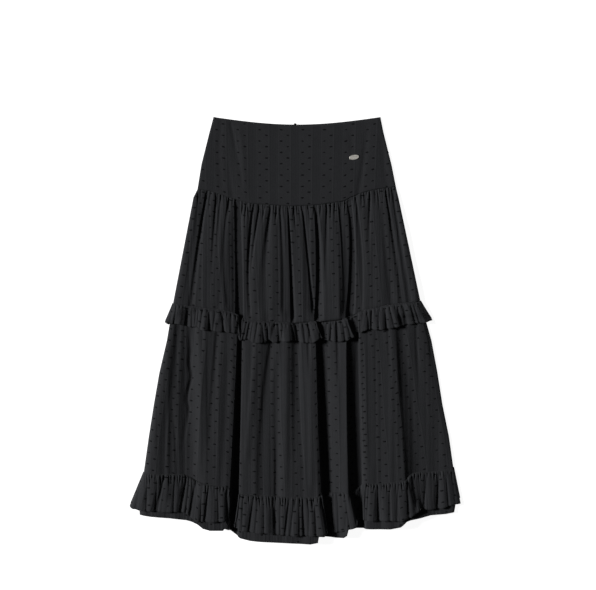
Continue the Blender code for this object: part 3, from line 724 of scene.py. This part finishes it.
midRuffle = {
    "seed": 11,
    "columns": 760,
    "rows": 22,
    "flute": (0.9, 6.2),           # height of the flutes at the seam and at the free edge
    "swing": (9.0, 12.0),          # how far its ends swing out past the tier
    "pinch": 2.1,
    "pinchSpacing": 7.4,
    "pinchLength": 11.0,
    "curl": 2.4,                   # how far the free edge dips at the ends of a flute
    "turned": (4.0, 0.45),         # width and thickness of the turned edge
    "cut": (0.92, 0.036),
    "cutArea": 0.031,
    "shift": table(                # how far the free edge moves sideways, by place across at the seam
        "x moved",
        (-246, 0), (-210, -3), (-160, -2), (-122, 3), (-115, 5), (-98, -12), (-80, -4), (-40, 0), (10, 4),
        (36, 13), (45, 8), (62, -7), (80, 0), (98, 16), (108, 11), (138, -11), (154, -2), (180, 8), (210, 14),
        (232, 6), (250, 0),
    ),
    "edge": table(                 # the free edge
        "x y",
        (-264, 28), (-258, 18), (-246, 10), (-230, 12), (-216, 8), (-210, 4), (-192, 4), (-186, 0), (-168, -2),
        (-148, -4), (-132, -6), (-116, -8), (-112, -22), (-96, -20), (-86, -26), (-62, -26), (-54, -20),
        (-46, -26), (-30, -24), (-10, -22), (10, -26), (30, -26), (40, -22), (48, -18), (52, -18), (60, -22),
        (80, -24), (100, -22), (115, -16), (118, -6), (126, -6), (130, -2), (140, 0), (166, 0), (180, 2),
        (200, 6), (214, 9), (226, 11), (246, 14), (260, 18), (276, 28),
    ),
    "troughs": table(              # places across at the seam and at the free edge, depth as a part, half width
        "seam edge deep wide",
        (-246, -250, 0.8, 5), (-236, -242, 0.6, 4), (-214, -216, 1.0, 7), (-206, -206, 0.5, 4),
        (-198, -200, 1.0, 4), (-192, -196, 0.7, 3), (-184, -190, 0.4, 3), (-172, -170, 1.0, 4),
        (-158, -164, 0.5, 5), (-146, -142, 1.0, 5), (-128, -128, 0.5, 5), (-112, -115, 1.0, 7),
        (-96, -104, 0.5, 4), (-90, -96, 1.0, 5), (-84, -90, 0.5, 3), (-74, -82, 0.4, 4), (-66, -62, 0.5, 4),
        (-56, -54, 0.8, 4), (-34, -32, 1.0, 5), (-24, -28, 0.5, 3), (-8, -2, 0.7, 4), (0, 6, 1.0, 5),
        (16, 20, 0.5, 4), (28, 28, 0.4, 3), (50, 51, 1.0, 6), (62, 62, 0.4, 3), (72, 70, 0.8, 4),
        (84, 84, 0.4, 3), (94, 100, 0.7, 4), (100, 112, 0.7, 4), (114, 120, 1.0, 9), (144, 146, 0.5, 3),
        (151, 152, 1.0, 4), (166, 166, 0.4, 3), (178, 182, 1.0, 4), (186, 198, 0.6, 4), (202, 212, 1.0, 5),
        (214, 222, 1.0, 7), (228, 240, 1.0, 5), (234, 248, 0.7, 4), (252, 270, 1.0, 5),
    ),
}

hemRuffle = {
    "seed": 12,
    "columns": 820,
    "rows": 30,
    "flute": (0.9, 6.0),
    "swing": (17.0, 9.0),
    "pinch": 2.3,
    "pinchSpacing": 6.8,
    "pinchLength": 22.0,
    "curl": 2.2,
    "turned": (5.0, 0.5),
    "cut": (1.12, 0.076),
    "cutArea": 0.082,
    "shift": table(
        "x moved",
        (-305, 0), (-290, -6), (-250, -5), (-190, -3), (-140, 1), (-132, 2), (-122, -3), (-110, -8), (-90, -4),
        (-40, 0), (10, 4), (50, 12), (58, 6), (64, 2), (80, 5), (100, 20), (112, 13), (130, -2), (150, -2),
        (170, 0), (200, 5), (220, 20), (232, 14), (246, 2), (270, 0), (300, 0), (312, 0),
    ),
    "seam": table(
        "x y",
        (-302, -286), (-270, -288), (-216, -288), (-200, -296), (-190, -302), (-180, -306), (-170, -308),
        (-134, -312), (-114, -322), (-110, -326), (-90, -328), (-70, -330), (-50, -330), (-10, -333),
        (30, -333), (48, -332), (60, -324), (100, -324), (104, -326), (134, -304), (144, -306), (160, -306),
        (180, -304), (210, -302), (218, -300), (224, -292), (234, -286), (250, -284), (270, -284), (304, -280),
        (314, -280),
    ),
    "edge": table(
        "x y",
        (-331, -342), (-316, -356), (-310, -358), (-290, -360), (-250, -362), (-222, -362), (-210, -364),
        (-204, -372), (-192, -378), (-190, -382), (-170, -382), (-150, -382), (-134, -380), (-130, -388),
        (-116, -394), (-100, -400), (-70, -404), (-50, -404), (-40, -408), (-10, -410), (46, -410), (63, -407),
        (70, -402), (80, -404), (100, -400), (122, -394), (124, -380), (210, -380), (220, -376), (228, -374),
        (242, -364), (248, -358), (270, -358), (290, -357), (310, -350), (331, -346),
    ),
    "troughs": table(
        "seam edge deep wide",
        (-306, -318, 1.0, 5), (-294, -296, 0.5, 3), (-274, -278, 0.5, 3), (-260, -276, 1.0, 6),
        (-240, -242, 0.5, 3), (-216, -228, 1.0, 5), (-210, -218, 0.5, 3), (-198, -210, 1.0, 5),
        (-186, -188, 0.5, 3), (-172, -180, 1.0, 5), (-154, -152, 0.5, 4), (-138, -132, 1.0, 5),
        (-128, -122, 1.0, 9), (-112, -116, 0.7, 4), (-104, -106, 0.4, 3), (-82, -92, 1.0, 5), (-74, -80, 0.4, 4),
        (-62, -62, 0.4, 3), (-44, -38, 1.0, 8), (-30, -30, 0.4, 3), (-12, -20, 1.0, 5), (-2, -10, 0.6, 4),
        (8, 8, 0.4, 3), (14, 18, 1.0, 5), (28, 26, 0.4, 3), (38, 42, 0.6, 4), (50, 68, 1.0, 6),
        (72, 72, 0.9, 4), (84, 86, 0.4, 3), (100, 106, 0.6, 4), (114, 126, 1.0, 9), (130, 132, 1.0, 7),
        (142, 136, 0.7, 4), (146, 142, 0.5, 3), (164, 166, 1.0, 5), (188, 188, 0.5, 6), (204, 202, 0.4, 4),
        (222, 226, 0.9, 5), (232, 240, 1.0, 8), (262, 256, 0.6, 5), (286, 284, 1.0, 5), (300, 306, 0.6, 4),
        (312, 320, 0.5, 4),
    ),
}


def flutesAt(x, part, settings):
    # broad flutes with narrow troughs between them: 1 on a flute, less for each trough half its depth times a
    # cosine bell of its width, and half with a bell as wide as its shoulder
    narrow, wider = ruffleForm["troughWidth"]
    wave = np.ones_like(x)
    for seam, edge, deep, wide in zip(*settings["troughs"].values()):
        away = x - seam - (edge - seam) * part
        half = wide * (narrow + wider * part)
        steep = (1 + np.cos(math.pi * np.clip(away / half, -1, 1))) / 2
        shoulder = (1 + np.cos(math.pi * np.clip(away / (half * ruffleForm["shoulder"]), -1, 1))) / 2
        wave -= deep * (0.5 * steep + 0.5 * shoulder)
    return np.clip(wave, 0, 1)


def makeRuffle(settings):
    # a grid from the seam to the free edge that lies on the lower tier: the tier's height there, the room under
    # the ruffle, and the flutes' height, which grows from seam to edge, times their wave, less the gathers. The
    # free edge moves sideways by its table, swings out at both ends and dips at each flute
    form = ruffleForm
    rolled, last = skirt["rolled"], skirt["columns"]
    onHem = "seam" in settings
    level = "hem" if onHem else "midSeam"
    ends = lineOf("hemSeam" if onHem else "midSeam", np.array([0, last]))
    columns = evenColumns(settings["columns"], tuple(ends), knotParts(level), form["evenRoll"])
    part = (np.linspace(0, 1, settings["rows"]) ** form["rowPower"])[:, None]
    plain = acrossRows(columns, np.interp(columns, [0, last], ends)[None], knotParts(level)[None], form["roll"])
    line = np.interp(plain[0], settings["seam"]["x"], settings["seam"]["y"]) if onHem else lineOf(level, columns)
    inward = np.minimum(columns, last - columns) / rolled
    outward = np.sign(columns - last / 2)
    side = outward * np.cos(np.clip(inward, 0, 1) * math.pi / 2)
    upright = 1 - np.abs(side)

    tips = np.exp(-np.minimum(plain - plain[:, :1], plain[:, -1:] - plain) / form["tipReach"])
    swings = np.where(outward < 0, *settings["swing"])
    moved = np.interp(plain, settings["shift"]["x"], settings["shift"]["moved"])
    sideways = moved * part ** form["sidePower"] + swings * tips * outward * part
    low = np.interp(plain[0] + sideways[-1], settings["edge"]["x"], settings["edge"]["y"])
    top = line + (0 if onHem else skirt["tuck"])
    up = top + (low - top) * part

    tier = lowerPoints(columns, up)
    across, height = tier[:, :, 0], tier[:, :, 2]
    slope = np.minimum(np.abs(np.gradient(height, axis=1) / np.gradient(across, axis=1)), form["steepest"])
    room = (skirt["ruffleCloth"] + form["room"]) * np.sqrt(1 + slope ** 2)
    order = np.arange(columns.size) * 1e-4       # keeps each column right of the last
    placed = np.maximum.accumulate(across + side * form["outside"] + sideways + order, axis=1)

    wave = flutesAt(placed, part, settings)
    atSeam, atEdge = settings["flute"]
    flute = atSeam + (atEdge - atSeam) * part ** form["flutePower"]
    pinched = pinchesAt(placed, line - up, settings, settings["seed"])
    full = np.maximum(flute * wave + settings["pinch"] * np.exp(-form["pinchFade"] * part) - pinched, 0)
    full = full * smoothStep(line - up, form["seamStart"], skirt["seamReach"])
    full = full - skirt["seamDip"] * np.exp(-(line - up) ** 2 / form["dipWidth"])
    wide, thick = settings["turned"]
    full = full + thick * smoothStep(low - up, -wide - form["turnedStep"], -wide + form["turnedStep"])
    heights = np.where(upright <= 0, skirt["sideEdge"], height + upright * (room + full))
    up = up + settings["curl"] * (form["level"] - wave) * part ** 2 * upright
    grid = np.stack((placed, up, heights), axis=2)
    return grid, cutOf(grid, -1)


# Yoke: smooth, with a turned edge at the waist and a few soft creases

yokePiece = {
    "columns": 240,
    "rows": 70,
    "evenAt": (350, 350),
    "height": 4.6,                 # at the waist, then how much more at the seam and in between
    "rise": 1.0,
    "swell": 0.8,
    "seamDrop": 0.9,               # how far its lower edge sinks at the seam
    "seamReach": (-1.8, -0.2),
    "waves": ((0.16, 50.0, 5),),
    "rounded": 0.3,
    "edgeStep": 0.35,              # thickness added by the turned edge
    "edgeReach": (10.5, 92.0),     # how far down it reaches in the middle, and half its width across
    "stitchGroove": (0.5, 1.1),    # depth and width of the groove along the turned edge
    "weaveMiddle": (-22.0, 382.3), # a pair of dots and a row of dots on the cloth
    "weaveNarrows": 0.03,          # how much closer the dot columns are at the seam than at the waist
    "cut": (0.40, 0.18),
    "cutArea": 0.058,
    "creases": table(
        "x0 y0 x1 y1 x2 y2 deep0 deep1 deep2 left0 right0 left2 right2",
        (143, 400, 138, 350, 126, 276, 0.6, 1.3, 1.4, 8, 9, 8, 8),
        (-128, 408, -120, 368, -108, 300, 1.3, 1.1, 0.5, 7, 4, 9, 6),
        (-112, 400, -106, 350, -100, 270, -0.5, -0.9, -0.4, 5, 9, 7, 9),
        (-136, 350, -132, 310, -126, 270, 0.3, 0.9, 1.1, 10, 7, 10, 7),
        (-148, 412, -152, 360, -148, 290, 0.9, 0.8, 0.6, 9, 7, 10, 9),
        (172, 380, 178, 330, 184, 284, 0.4, 0.8, 0.9, 9, 8, 10, 9),
        (110, 404, 112, 372, 118, 330, 0.2, 0.6, 0.3, 9, 9, 9, 9),
        (-60, 340, -62, 300, -64, 256, 0.0, 0.3, 0.4, 12, 12, 12, 12),
        (70, 340, 72, 300, 76, 258, 0.0, 0.3, 0.4, 12, 12, 12, 12),
    ),
}


def makeYoke():
    # a grid between the waist and the yoke seam: its height plus a straight rise and one arch of a sine, less the
    # creases. A parabola marks the turned edge, above which the cloth is thicker, with a bell-shaped groove on it
    settings = yokePiece
    parts = knotParts("yokeSeam")
    columns = evenColumns(settings["columns"], settings["evenAt"], parts, skirt["rollYoke"])
    part = np.linspace(0, 1, settings["rows"])[:, None]
    top, low = lineOf("waist", columns), lineOf("yokeSeam", columns) + skirt["gap"] / 2
    up = top + (low - top) * part
    across = acrossRows(columns, up, parts[None], skirt["rollYoke"])
    heights = settings["height"] + settings["rise"] * part + settings["swell"] * np.sin(math.pi * part)
    heights = heights - creasesAt(across, up, settings["creases"], settings["rounded"])
    heights = heights + wavesAt(across, up, settings)
    reach, wide = settings["edgeReach"]
    edgeLine = reach * (1 - (across / wide) ** 2)
    fromLine = top - up - edgeLine
    heights = heights + settings["edgeStep"] * (1 - smoothStep(fromLine, -0.5, 0.5))
    deep, width = settings["stitchGroove"]
    groove = np.exp(-(fromLine / width) ** 2) * smoothStep(edgeLine, 0, 4)
    heights = heights - deep * groove - settings["seamDrop"] * smoothStep(low - up, *settings["seamReach"])
    heights = rollDown(columns, heights, skirt["sideEdge"])
    grid = np.stack((across, up, heights), axis=2)
    middle, row = settings["weaveMiddle"]
    narrows = 1 + settings["weaveNarrows"] * part
    return grid, np.stack(((across - middle) * narrows, row - up), axis=2) * mm


# Back: every piece lies pressed flat on the surface, with low creases

backPieces = {
    "sags": {"waist": 15.0, "yokeSeam": 24.0, "midSeam": 26.0, "hemSeam": 18.0, "hem": 9.0},
    "columns": 260,
    "clear": 0.35,                 # room for the dots between the cloth and the surface
    "outside": 1.4,                # how far the ruffles' sides lie out from the tiers'
    "flatEdge": 0.04,              # part of the width at each side without ridges
    "lift": 1.3,                   # how far the lower tier lies up where the back's ruffles pass under it
    "liftParts": table("down lifted", (0, 1), (0.1, 1), (0.13, 0), (0.75, 0), (0.785, 1), (1, 1)),
    "pieces": (                    # top and low: a line and on which side of its gap; ridges: height, length, seed
        {"name": "upper_tier", "slot": "dotted_cotton", "rows": 40, "top": ("yokeSeam", -1), "low": ("midSeam", 1),
         "ridges": (0.9, 20.0, 21), "cut": (0.60, 0.26), "cutArea": 0.120},
        {"name": "lower_tier", "slot": "dotted_cotton", "rows": 60, "top": ("midSeam", -1), "low": ("hem", 0),
         "ridges": (0.9, 32.0, 22), "cut": (0.85, 0.45), "cutArea": 0.260},
        {"name": "mid_ruffle", "slot": "ruffle_cotton", "rows": 8, "top": ("midSeam", -1), "low": ("midSeam", -1),
         "deep": 34.0, "swing": midRuffle["swing"], "ridges": (0.4, 11.0, 23), "cut": (0.80, 0.040),
         "cutArea": 0.020},
        {"name": "hem_ruffle", "slot": "ruffle_cotton", "rows": 12, "top": ("hemSeam", 0), "low": ("hemSeam", 0),
         "deep": 62.05, "swing": hemRuffle["swing"], "ridges": (0.4, 14.0, 24), "cut": (0.95, 0.075),
         "cutArea": 0.042},
    ),
    "yoke": {"name": "yoke", "slot": "dotted_cotton", "rows": 30, "top": ("waist", 0), "low": ("yokeSeam", 1),
             "ridges": (0.25, 60.0, 25), "cut": (0.20, 0.17), "cutArea": 0.030},
}


def backLine(level, share):
    # a seam of the back: straight from side to side, less one arch of a sine
    ends = lineOf(level, np.array([0, skirt["columns"]]))
    return ends[0] + (ends[1] - ends[0]) * share - backPieces["sags"][level] * np.sin(math.pi * share)


def backGrid(settings, thickness):
    # a flat sheet between two lines, its underside just over the surface: its thickness and the clear room, plus
    # shallow ridges where the gentle waves are above 0. A ruffle goes a set depth down from its line and swings
    # out at both ends
    share = np.linspace(0, 1, backPieces["columns"])
    part = np.linspace(0, 1, settings["rows"])[:, None]
    half = skirt["gap"] / 2
    upper, lower = (backLine(level, share) + side * half for level, side in (settings["top"], settings["low"]))
    up = upper + (lower - settings.get("deep", 0.0) - upper) * part
    outside = backPieces["outside"] if "swing" in settings else 0.0
    swing = settings.get("swing", (0.0, 0.0))
    left = edgesAt(up[:, :1])[0] - outside - swing[0] * part
    right = edgesAt(up[:, -1:])[1] + outside + swing[1] * part
    across = left + (right - left) * share
    ridge, length, seed = settings["ridges"]
    crease = gentleWaves(across, up, 1.0, length, seed)
    flat = backPieces["flatEdge"]
    inside = smoothStep(share, 0, flat) * (1 - smoothStep(share, 1 - flat, 1))
    heights = thickness + backPieces["clear"] + ridge * np.clip(crease, 0, 1) * inside
    if settings["name"] == "lower_tier":
        lifted = backPieces["liftParts"]
        heights = heights + backPieces["lift"] * np.interp(part, lifted["down"], lifted["lifted"])
    return np.stack((across, up, heights), axis=2)


print("shapes defined")

# Dots: raised dashes in pairs of columns, set in a zigzag on the flat cloth

dotPattern = {
    "pair": 13.6,                  # between the two columns of a band
    "period": 22.7,                # down a column
    "length": 6.8,
    "width": 3.1,
    "height": 0.6,
    "sides": 8,
    "foot": 0.15,                  # how far a dot's foot is sunk in the cloth
    "shoulder": (0.72, 0.75),      # size and height of its upper ring, as parts of the dot's
    "firstFall": 0.25,             # place of a band's first dot, as a part of the period
    "clearColumns": (2.5, 3.5),    # grid columns and rows at a sheet's edges that have no dot
    "clearRows": (0.8, 1.8),
    "uneven": (0.78, 1.12),        # smallest and largest size of a dot, as parts
    "turned": 0.08,                # how far a dot turns either way, in radians
    "pressed": 0.5,                # height of the back's dots as a part of the front's
    "frontSeed": 41,
    "backSeed": 42,
}


def dotShape():
    # a low dome on an oval: two rings and a top, closed underneath
    sides = dotPattern["sides"]
    turn = np.arange(sides) * 2 * math.pi / sides
    ring = np.stack((np.cos(turn) * dotPattern["length"] / 2, np.sin(turn) * dotPattern["width"] / 2), axis=1)
    wide, tall = dotPattern["shoulder"]
    low = np.column_stack((ring, np.full(sides, -dotPattern["foot"])))
    high = np.column_stack((ring * wide, np.full(sides, dotPattern["height"] * tall)))
    points = np.vstack((low, high, [(0, 0, dotPattern["height"])]))
    faces = []
    for n in range(sides):
        after = (n + 1) % sides
        faces.append((n, after, sides + after, sides + n))
        faces.append((sides + n, sides + after, 2 * sides))
    faces.append(tuple(range(sides))[::-1])
    return points, faces


def dotsOn(grid, cut, facing=1.0):
    # frames of the dots on one sheet: bands and steps give each dot's place on the flat cloth, and the grid's
    # column and row with that place are found by reading the cut backwards
    along, down = cut[:, :, 0] / mm, cut[:, :, 1] / mm
    repeat, pair, period = clothLook["repeat"], dotPattern["pair"], dotPattern["period"]
    bands = np.arange(np.floor(along.min() / repeat) - 1, np.ceil(along.max() / repeat) + 2)
    steps = np.arange(np.floor(down.min() / period) - 1, np.ceil(down.max() / period) + 2)
    band, step, half = (a.ravel() for a in np.meshgrid(bands, steps, (-0.5, 0.5)))
    across = band * repeat + half * pair
    fall = (step + dotPattern["firstFall"] + 0.5 * (half > 0)) * period
    row = np.full(across.size, grid.shape[0] / 2.0)
    numbers = np.arange(grid.shape[1])
    for _ in range(4):             # the column at this row, then the row at this column, and again
        whole = np.clip(row.astype(int), 0, grid.shape[0] - 1)
        column = np.array([np.interp(a, along[r], numbers) for a, r in zip(across, whole)])
        near = np.round(column).astype(int)
        row = np.array([np.interp(f, down[:, c], np.arange(down.shape[0]), left=-1, right=1e4)
                        for f, c in zip(fall, near)])
    row = np.where(row > grid.shape[0], -1, row)     # -1 marks a dot that falls off the sheet
    (left, right), (above, below) = dotPattern["clearColumns"], dotPattern["clearRows"]
    inside = (column > left) & (column < grid.shape[1] - right)
    keep = inside & (row > above) & (row < grid.shape[0] - below)
    return placeOn(grid, row[keep], column[keep], facing)


def placeOn(grid, row, column, facing):
    # point, direction across, direction down and outward normal at places between a grid's points: each is
    # blended from the four corners around it
    r, c = row.astype(int), np.clip(column.astype(int), 0, grid.shape[1] - 2)
    fr, fc = (row - r)[:, None], (column - c)[:, None]
    corner = [grid[r, c], grid[r, c + 1], grid[r + 1, c], grid[r + 1, c + 1]]
    point = (corner[0] * (1 - fc) + corner[1] * fc) * (1 - fr) + (corner[2] * (1 - fc) + corner[3] * fc) * fr
    right = (corner[1] - corner[0]) * (1 - fr) + (corner[3] - corner[2]) * fr
    fall = (corner[2] - corner[0]) * (1 - fc) + (corner[3] - corner[1]) * fc
    right = right / np.linalg.norm(right, axis=1, keepdims=True)
    normal = np.cross(fall, right)
    normal = normal / np.linalg.norm(normal, axis=1, keepdims=True) * facing
    return point, right, np.cross(normal, right), normal


def addDots(name, frames, tall, seed):
    # one mesh of all the dots: the shape's points times each dot's own size along its own turned directions,
    # without the dots that would reach the surface below
    shape, faces = dotShape()
    point, right, fall, normal = (np.vstack(list(parts)) for parts in zip(*frames))
    dice = np.random.default_rng(seed)
    size = dice.uniform(*dotPattern["uneven"], len(point))[:, None, None]
    turn = dice.uniform(-dotPattern["turned"], dotPattern["turned"], len(point))[:, None]
    along = right * np.cos(turn) + fall * np.sin(turn)
    beside = fall * np.cos(turn) - right * np.sin(turn)
    placed = (point[:, None] + shape[None, :, :1] * size * along[:, None]
              + shape[None, :, 1:2] * size * beside[:, None] + shape[None, :, 2:] * tall * normal[:, None])
    placed = placed[placed[:, :, 2].min(axis=1) > 0]
    count = len(shape)
    joined = [tuple(v + n * count for v in face) for n in range(len(placed)) for face in faces]
    dots = addMesh(name, toWorld(placed.reshape(-1, 3)), joined, None, plainMaterials["dot_thread"])
    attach(dots, "root")
    print(name, len(placed), "dots")
    return dots


# Making the pieces

def asSheet(sheet, nodes):
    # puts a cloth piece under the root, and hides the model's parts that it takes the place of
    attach(sheet, "root")
    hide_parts(*nodes)


def makeFront():
    # the front's surfaces, with their cloth's thickness and one mesh of dots
    sheets, frames = [], []
    for name, slot, thickness, (grid, cut) in (
        ("yoke", "dotted_cotton", "cloth", makeYoke()),
        ("upper_tier", "dotted_cotton", "cloth", makeUpperTier()),
        ("lower_tier", "dotted_cotton", "cloth", makeLowerTier()),
        ("mid_ruffle", "ruffle_cotton", "ruffleCloth", makeRuffle(midRuffle)),
        ("hem_ruffle", "ruffle_cotton", "ruffleCloth", makeRuffle(hemRuffle)),
    ):
        sheets.append(addCloth("cloth_front_" + name, grid, cut, clothMaterials[slot], skirt[thickness]))
        frames.append(dotsOn(grid, cut))
    dots = addDots("front_dots", frames, 1.0, dotPattern["frontSeed"])
    yoke, upper, lower, mid, hem = sheets
    asSheet(yoke, ["front_yoke"])
    asSheet(upper, ["front_upper_tier"])
    asSheet(lower, ["front_lower_tier"])
    asSheet(mid, ["front_mid_ruffle"])
    asSheet(hem, ["front_hem_ruffle"])


def makeBack():
    # the back's tiers and ruffles, then the two halves of its yoke, parted by the centre seam; the dots are on
    # their undersides, which face the surface
    pieces = []
    for settings in backPieces["pieces"]:
        thickness = skirt["cloth"] if settings["slot"] == "dotted_cotton" else skirt["ruffleCloth"]
        grid = backGrid(settings, thickness)
        pieces.append((settings["name"], settings, thickness, grid, cutOf(grid, -1)))
    settings, thickness = backPieces["yoke"], skirt["cloth"]
    whole, count = backGrid(settings, thickness), backPieces["columns"] // 2
    middle = (skirt["sides"]["left"][-1] + skirt["sides"]["right"][-1]) / 2
    for name, grid, edge, side in (("yoke_left", whole[:, :count], -1, -1), ("yoke_right", whole[:, count:], 0, 1)):
        flat = cutOf(grid, -1)
        grid[:, edge, 0] = middle + side * skirt["gap"] / 2
        pieces.append((name, settings, thickness, grid, flat))
    frames = []
    for name, settings, thickness, grid, flat in pieces:
        sheet = addCloth("cloth_back_" + name, grid, flat, clothMaterials[settings["slot"]], thickness)
        frames.append(dotsOn(grid - np.array((0, 0, thickness)), flat, -1.0))
        asSheet(sheet, ["back_" + name])
    addDots("back_dots", frames, dotPattern["pressed"], dotPattern["backSeed"])


makeFront()
print("front made")
makeBack()
print("back made")

# Metal and zip

for nodeName, look in (("hip_plate", "plate_metal"), ("waist_hook", "hook_metal"), ("back_zip", "zip_tape")):
    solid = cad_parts[nodeName]
    solid.data.materials.clear()
    solid.data.materials.append(plainMaterials[look])
print("metal and zip finished")

# Floor, light and camera

studio = {
    "target": (0.0050, 0.0700),    # what the middle of the picture looks at
    "frameWidth": 1.192,
    "distance": 4.0,
    "sensor": 36.0,
    "keyTurn": 12.0,               # degrees that the key light comes from above the left, seen from the front
    "keyRise": 34.0,               # degrees over the floor
    "keySize": 16.0,
    "keyPower": 4.8,
    "fill": 0.05,
    "floorHalf": 6.0,
    "floorDrop": 0.0003,           # how far the floor lies under the skirt
    "floorGrain": (60.0, 2.0),
    "floorTones": (0.3136, 0.3264),
    "floorFinish": {"Roughness": 0.9, "Emission Color": (1, 1, 1, 1), "Emission Strength": 0.93},
}


def makeFloor():
    # a plain pale square, lit from itself so that it is even
    half, under = studio["floorHalf"], -studio["floorDrop"]
    points = np.array(((-half, -half, under), (half, -half, under), (half, half, under), (-half, half, under)))
    material, tree, shader = newMaterial("pale_floor", studio["floorFinish"])
    body = addNode(tree, "ShaderNodeTexCoord").outputs["Object"]
    grain = noiseAt(tree, body, *studio["floorGrain"])
    dark, light = studio["floorTones"]
    tree.links.new(rampOf(tree, grain, [(0, (dark,) * 3), (1, (light,) * 3)]), shader.inputs["Base Color"])
    addMesh("floor", points, [(0, 1, 2, 3)], None, material)


def makeLight():
    # a soft key from its turn and rise: cos(rise) times cos and sin of the turn, and sin(rise); and a faint fill
    lamp = bpy.data.lights.new("key", "SUN")
    lamp.energy = studio["keyPower"]
    lamp.angle = math.radians(studio["keySize"])
    key = bpy.data.objects.new("key", lamp)
    rise, turn = math.radians(studio["keyRise"]), math.radians(studio["keyTurn"])
    source = Vector((-math.cos(rise) * math.cos(turn), math.cos(rise) * math.sin(turn), math.sin(rise)))
    key.rotation_euler = source.to_track_quat("Z", "Y").to_euler()
    bpy.context.scene.collection.objects.link(key)
    world = bpy.data.worlds.new("studio")
    world.use_nodes = True
    backdrop = world.node_tree.nodes["Background"]
    backdrop.inputs["Color"].default_value = (1, 1, 1, 1)
    backdrop.inputs["Strength"].default_value = studio["fill"]
    bpy.context.scene.world = world


def makeCamera():
    # straight down on the target: the lens is the sensor's width times distance over the width of what it frames
    lens = bpy.data.cameras.new("camera")
    lens.sensor_width = studio["sensor"]
    lens.lens = lens.sensor_width * studio["distance"] / studio["frameWidth"]
    camera = bpy.data.objects.new("camera", lens)
    camera.location = (*studio["target"], studio["distance"])
    bpy.context.scene.collection.objects.link(camera)
    bpy.context.scene.camera = camera
    bpy.context.scene.view_settings.view_transform = "Standard"


makeFloor()
makeLight()
makeCamera()
print("floor, light and camera ready")
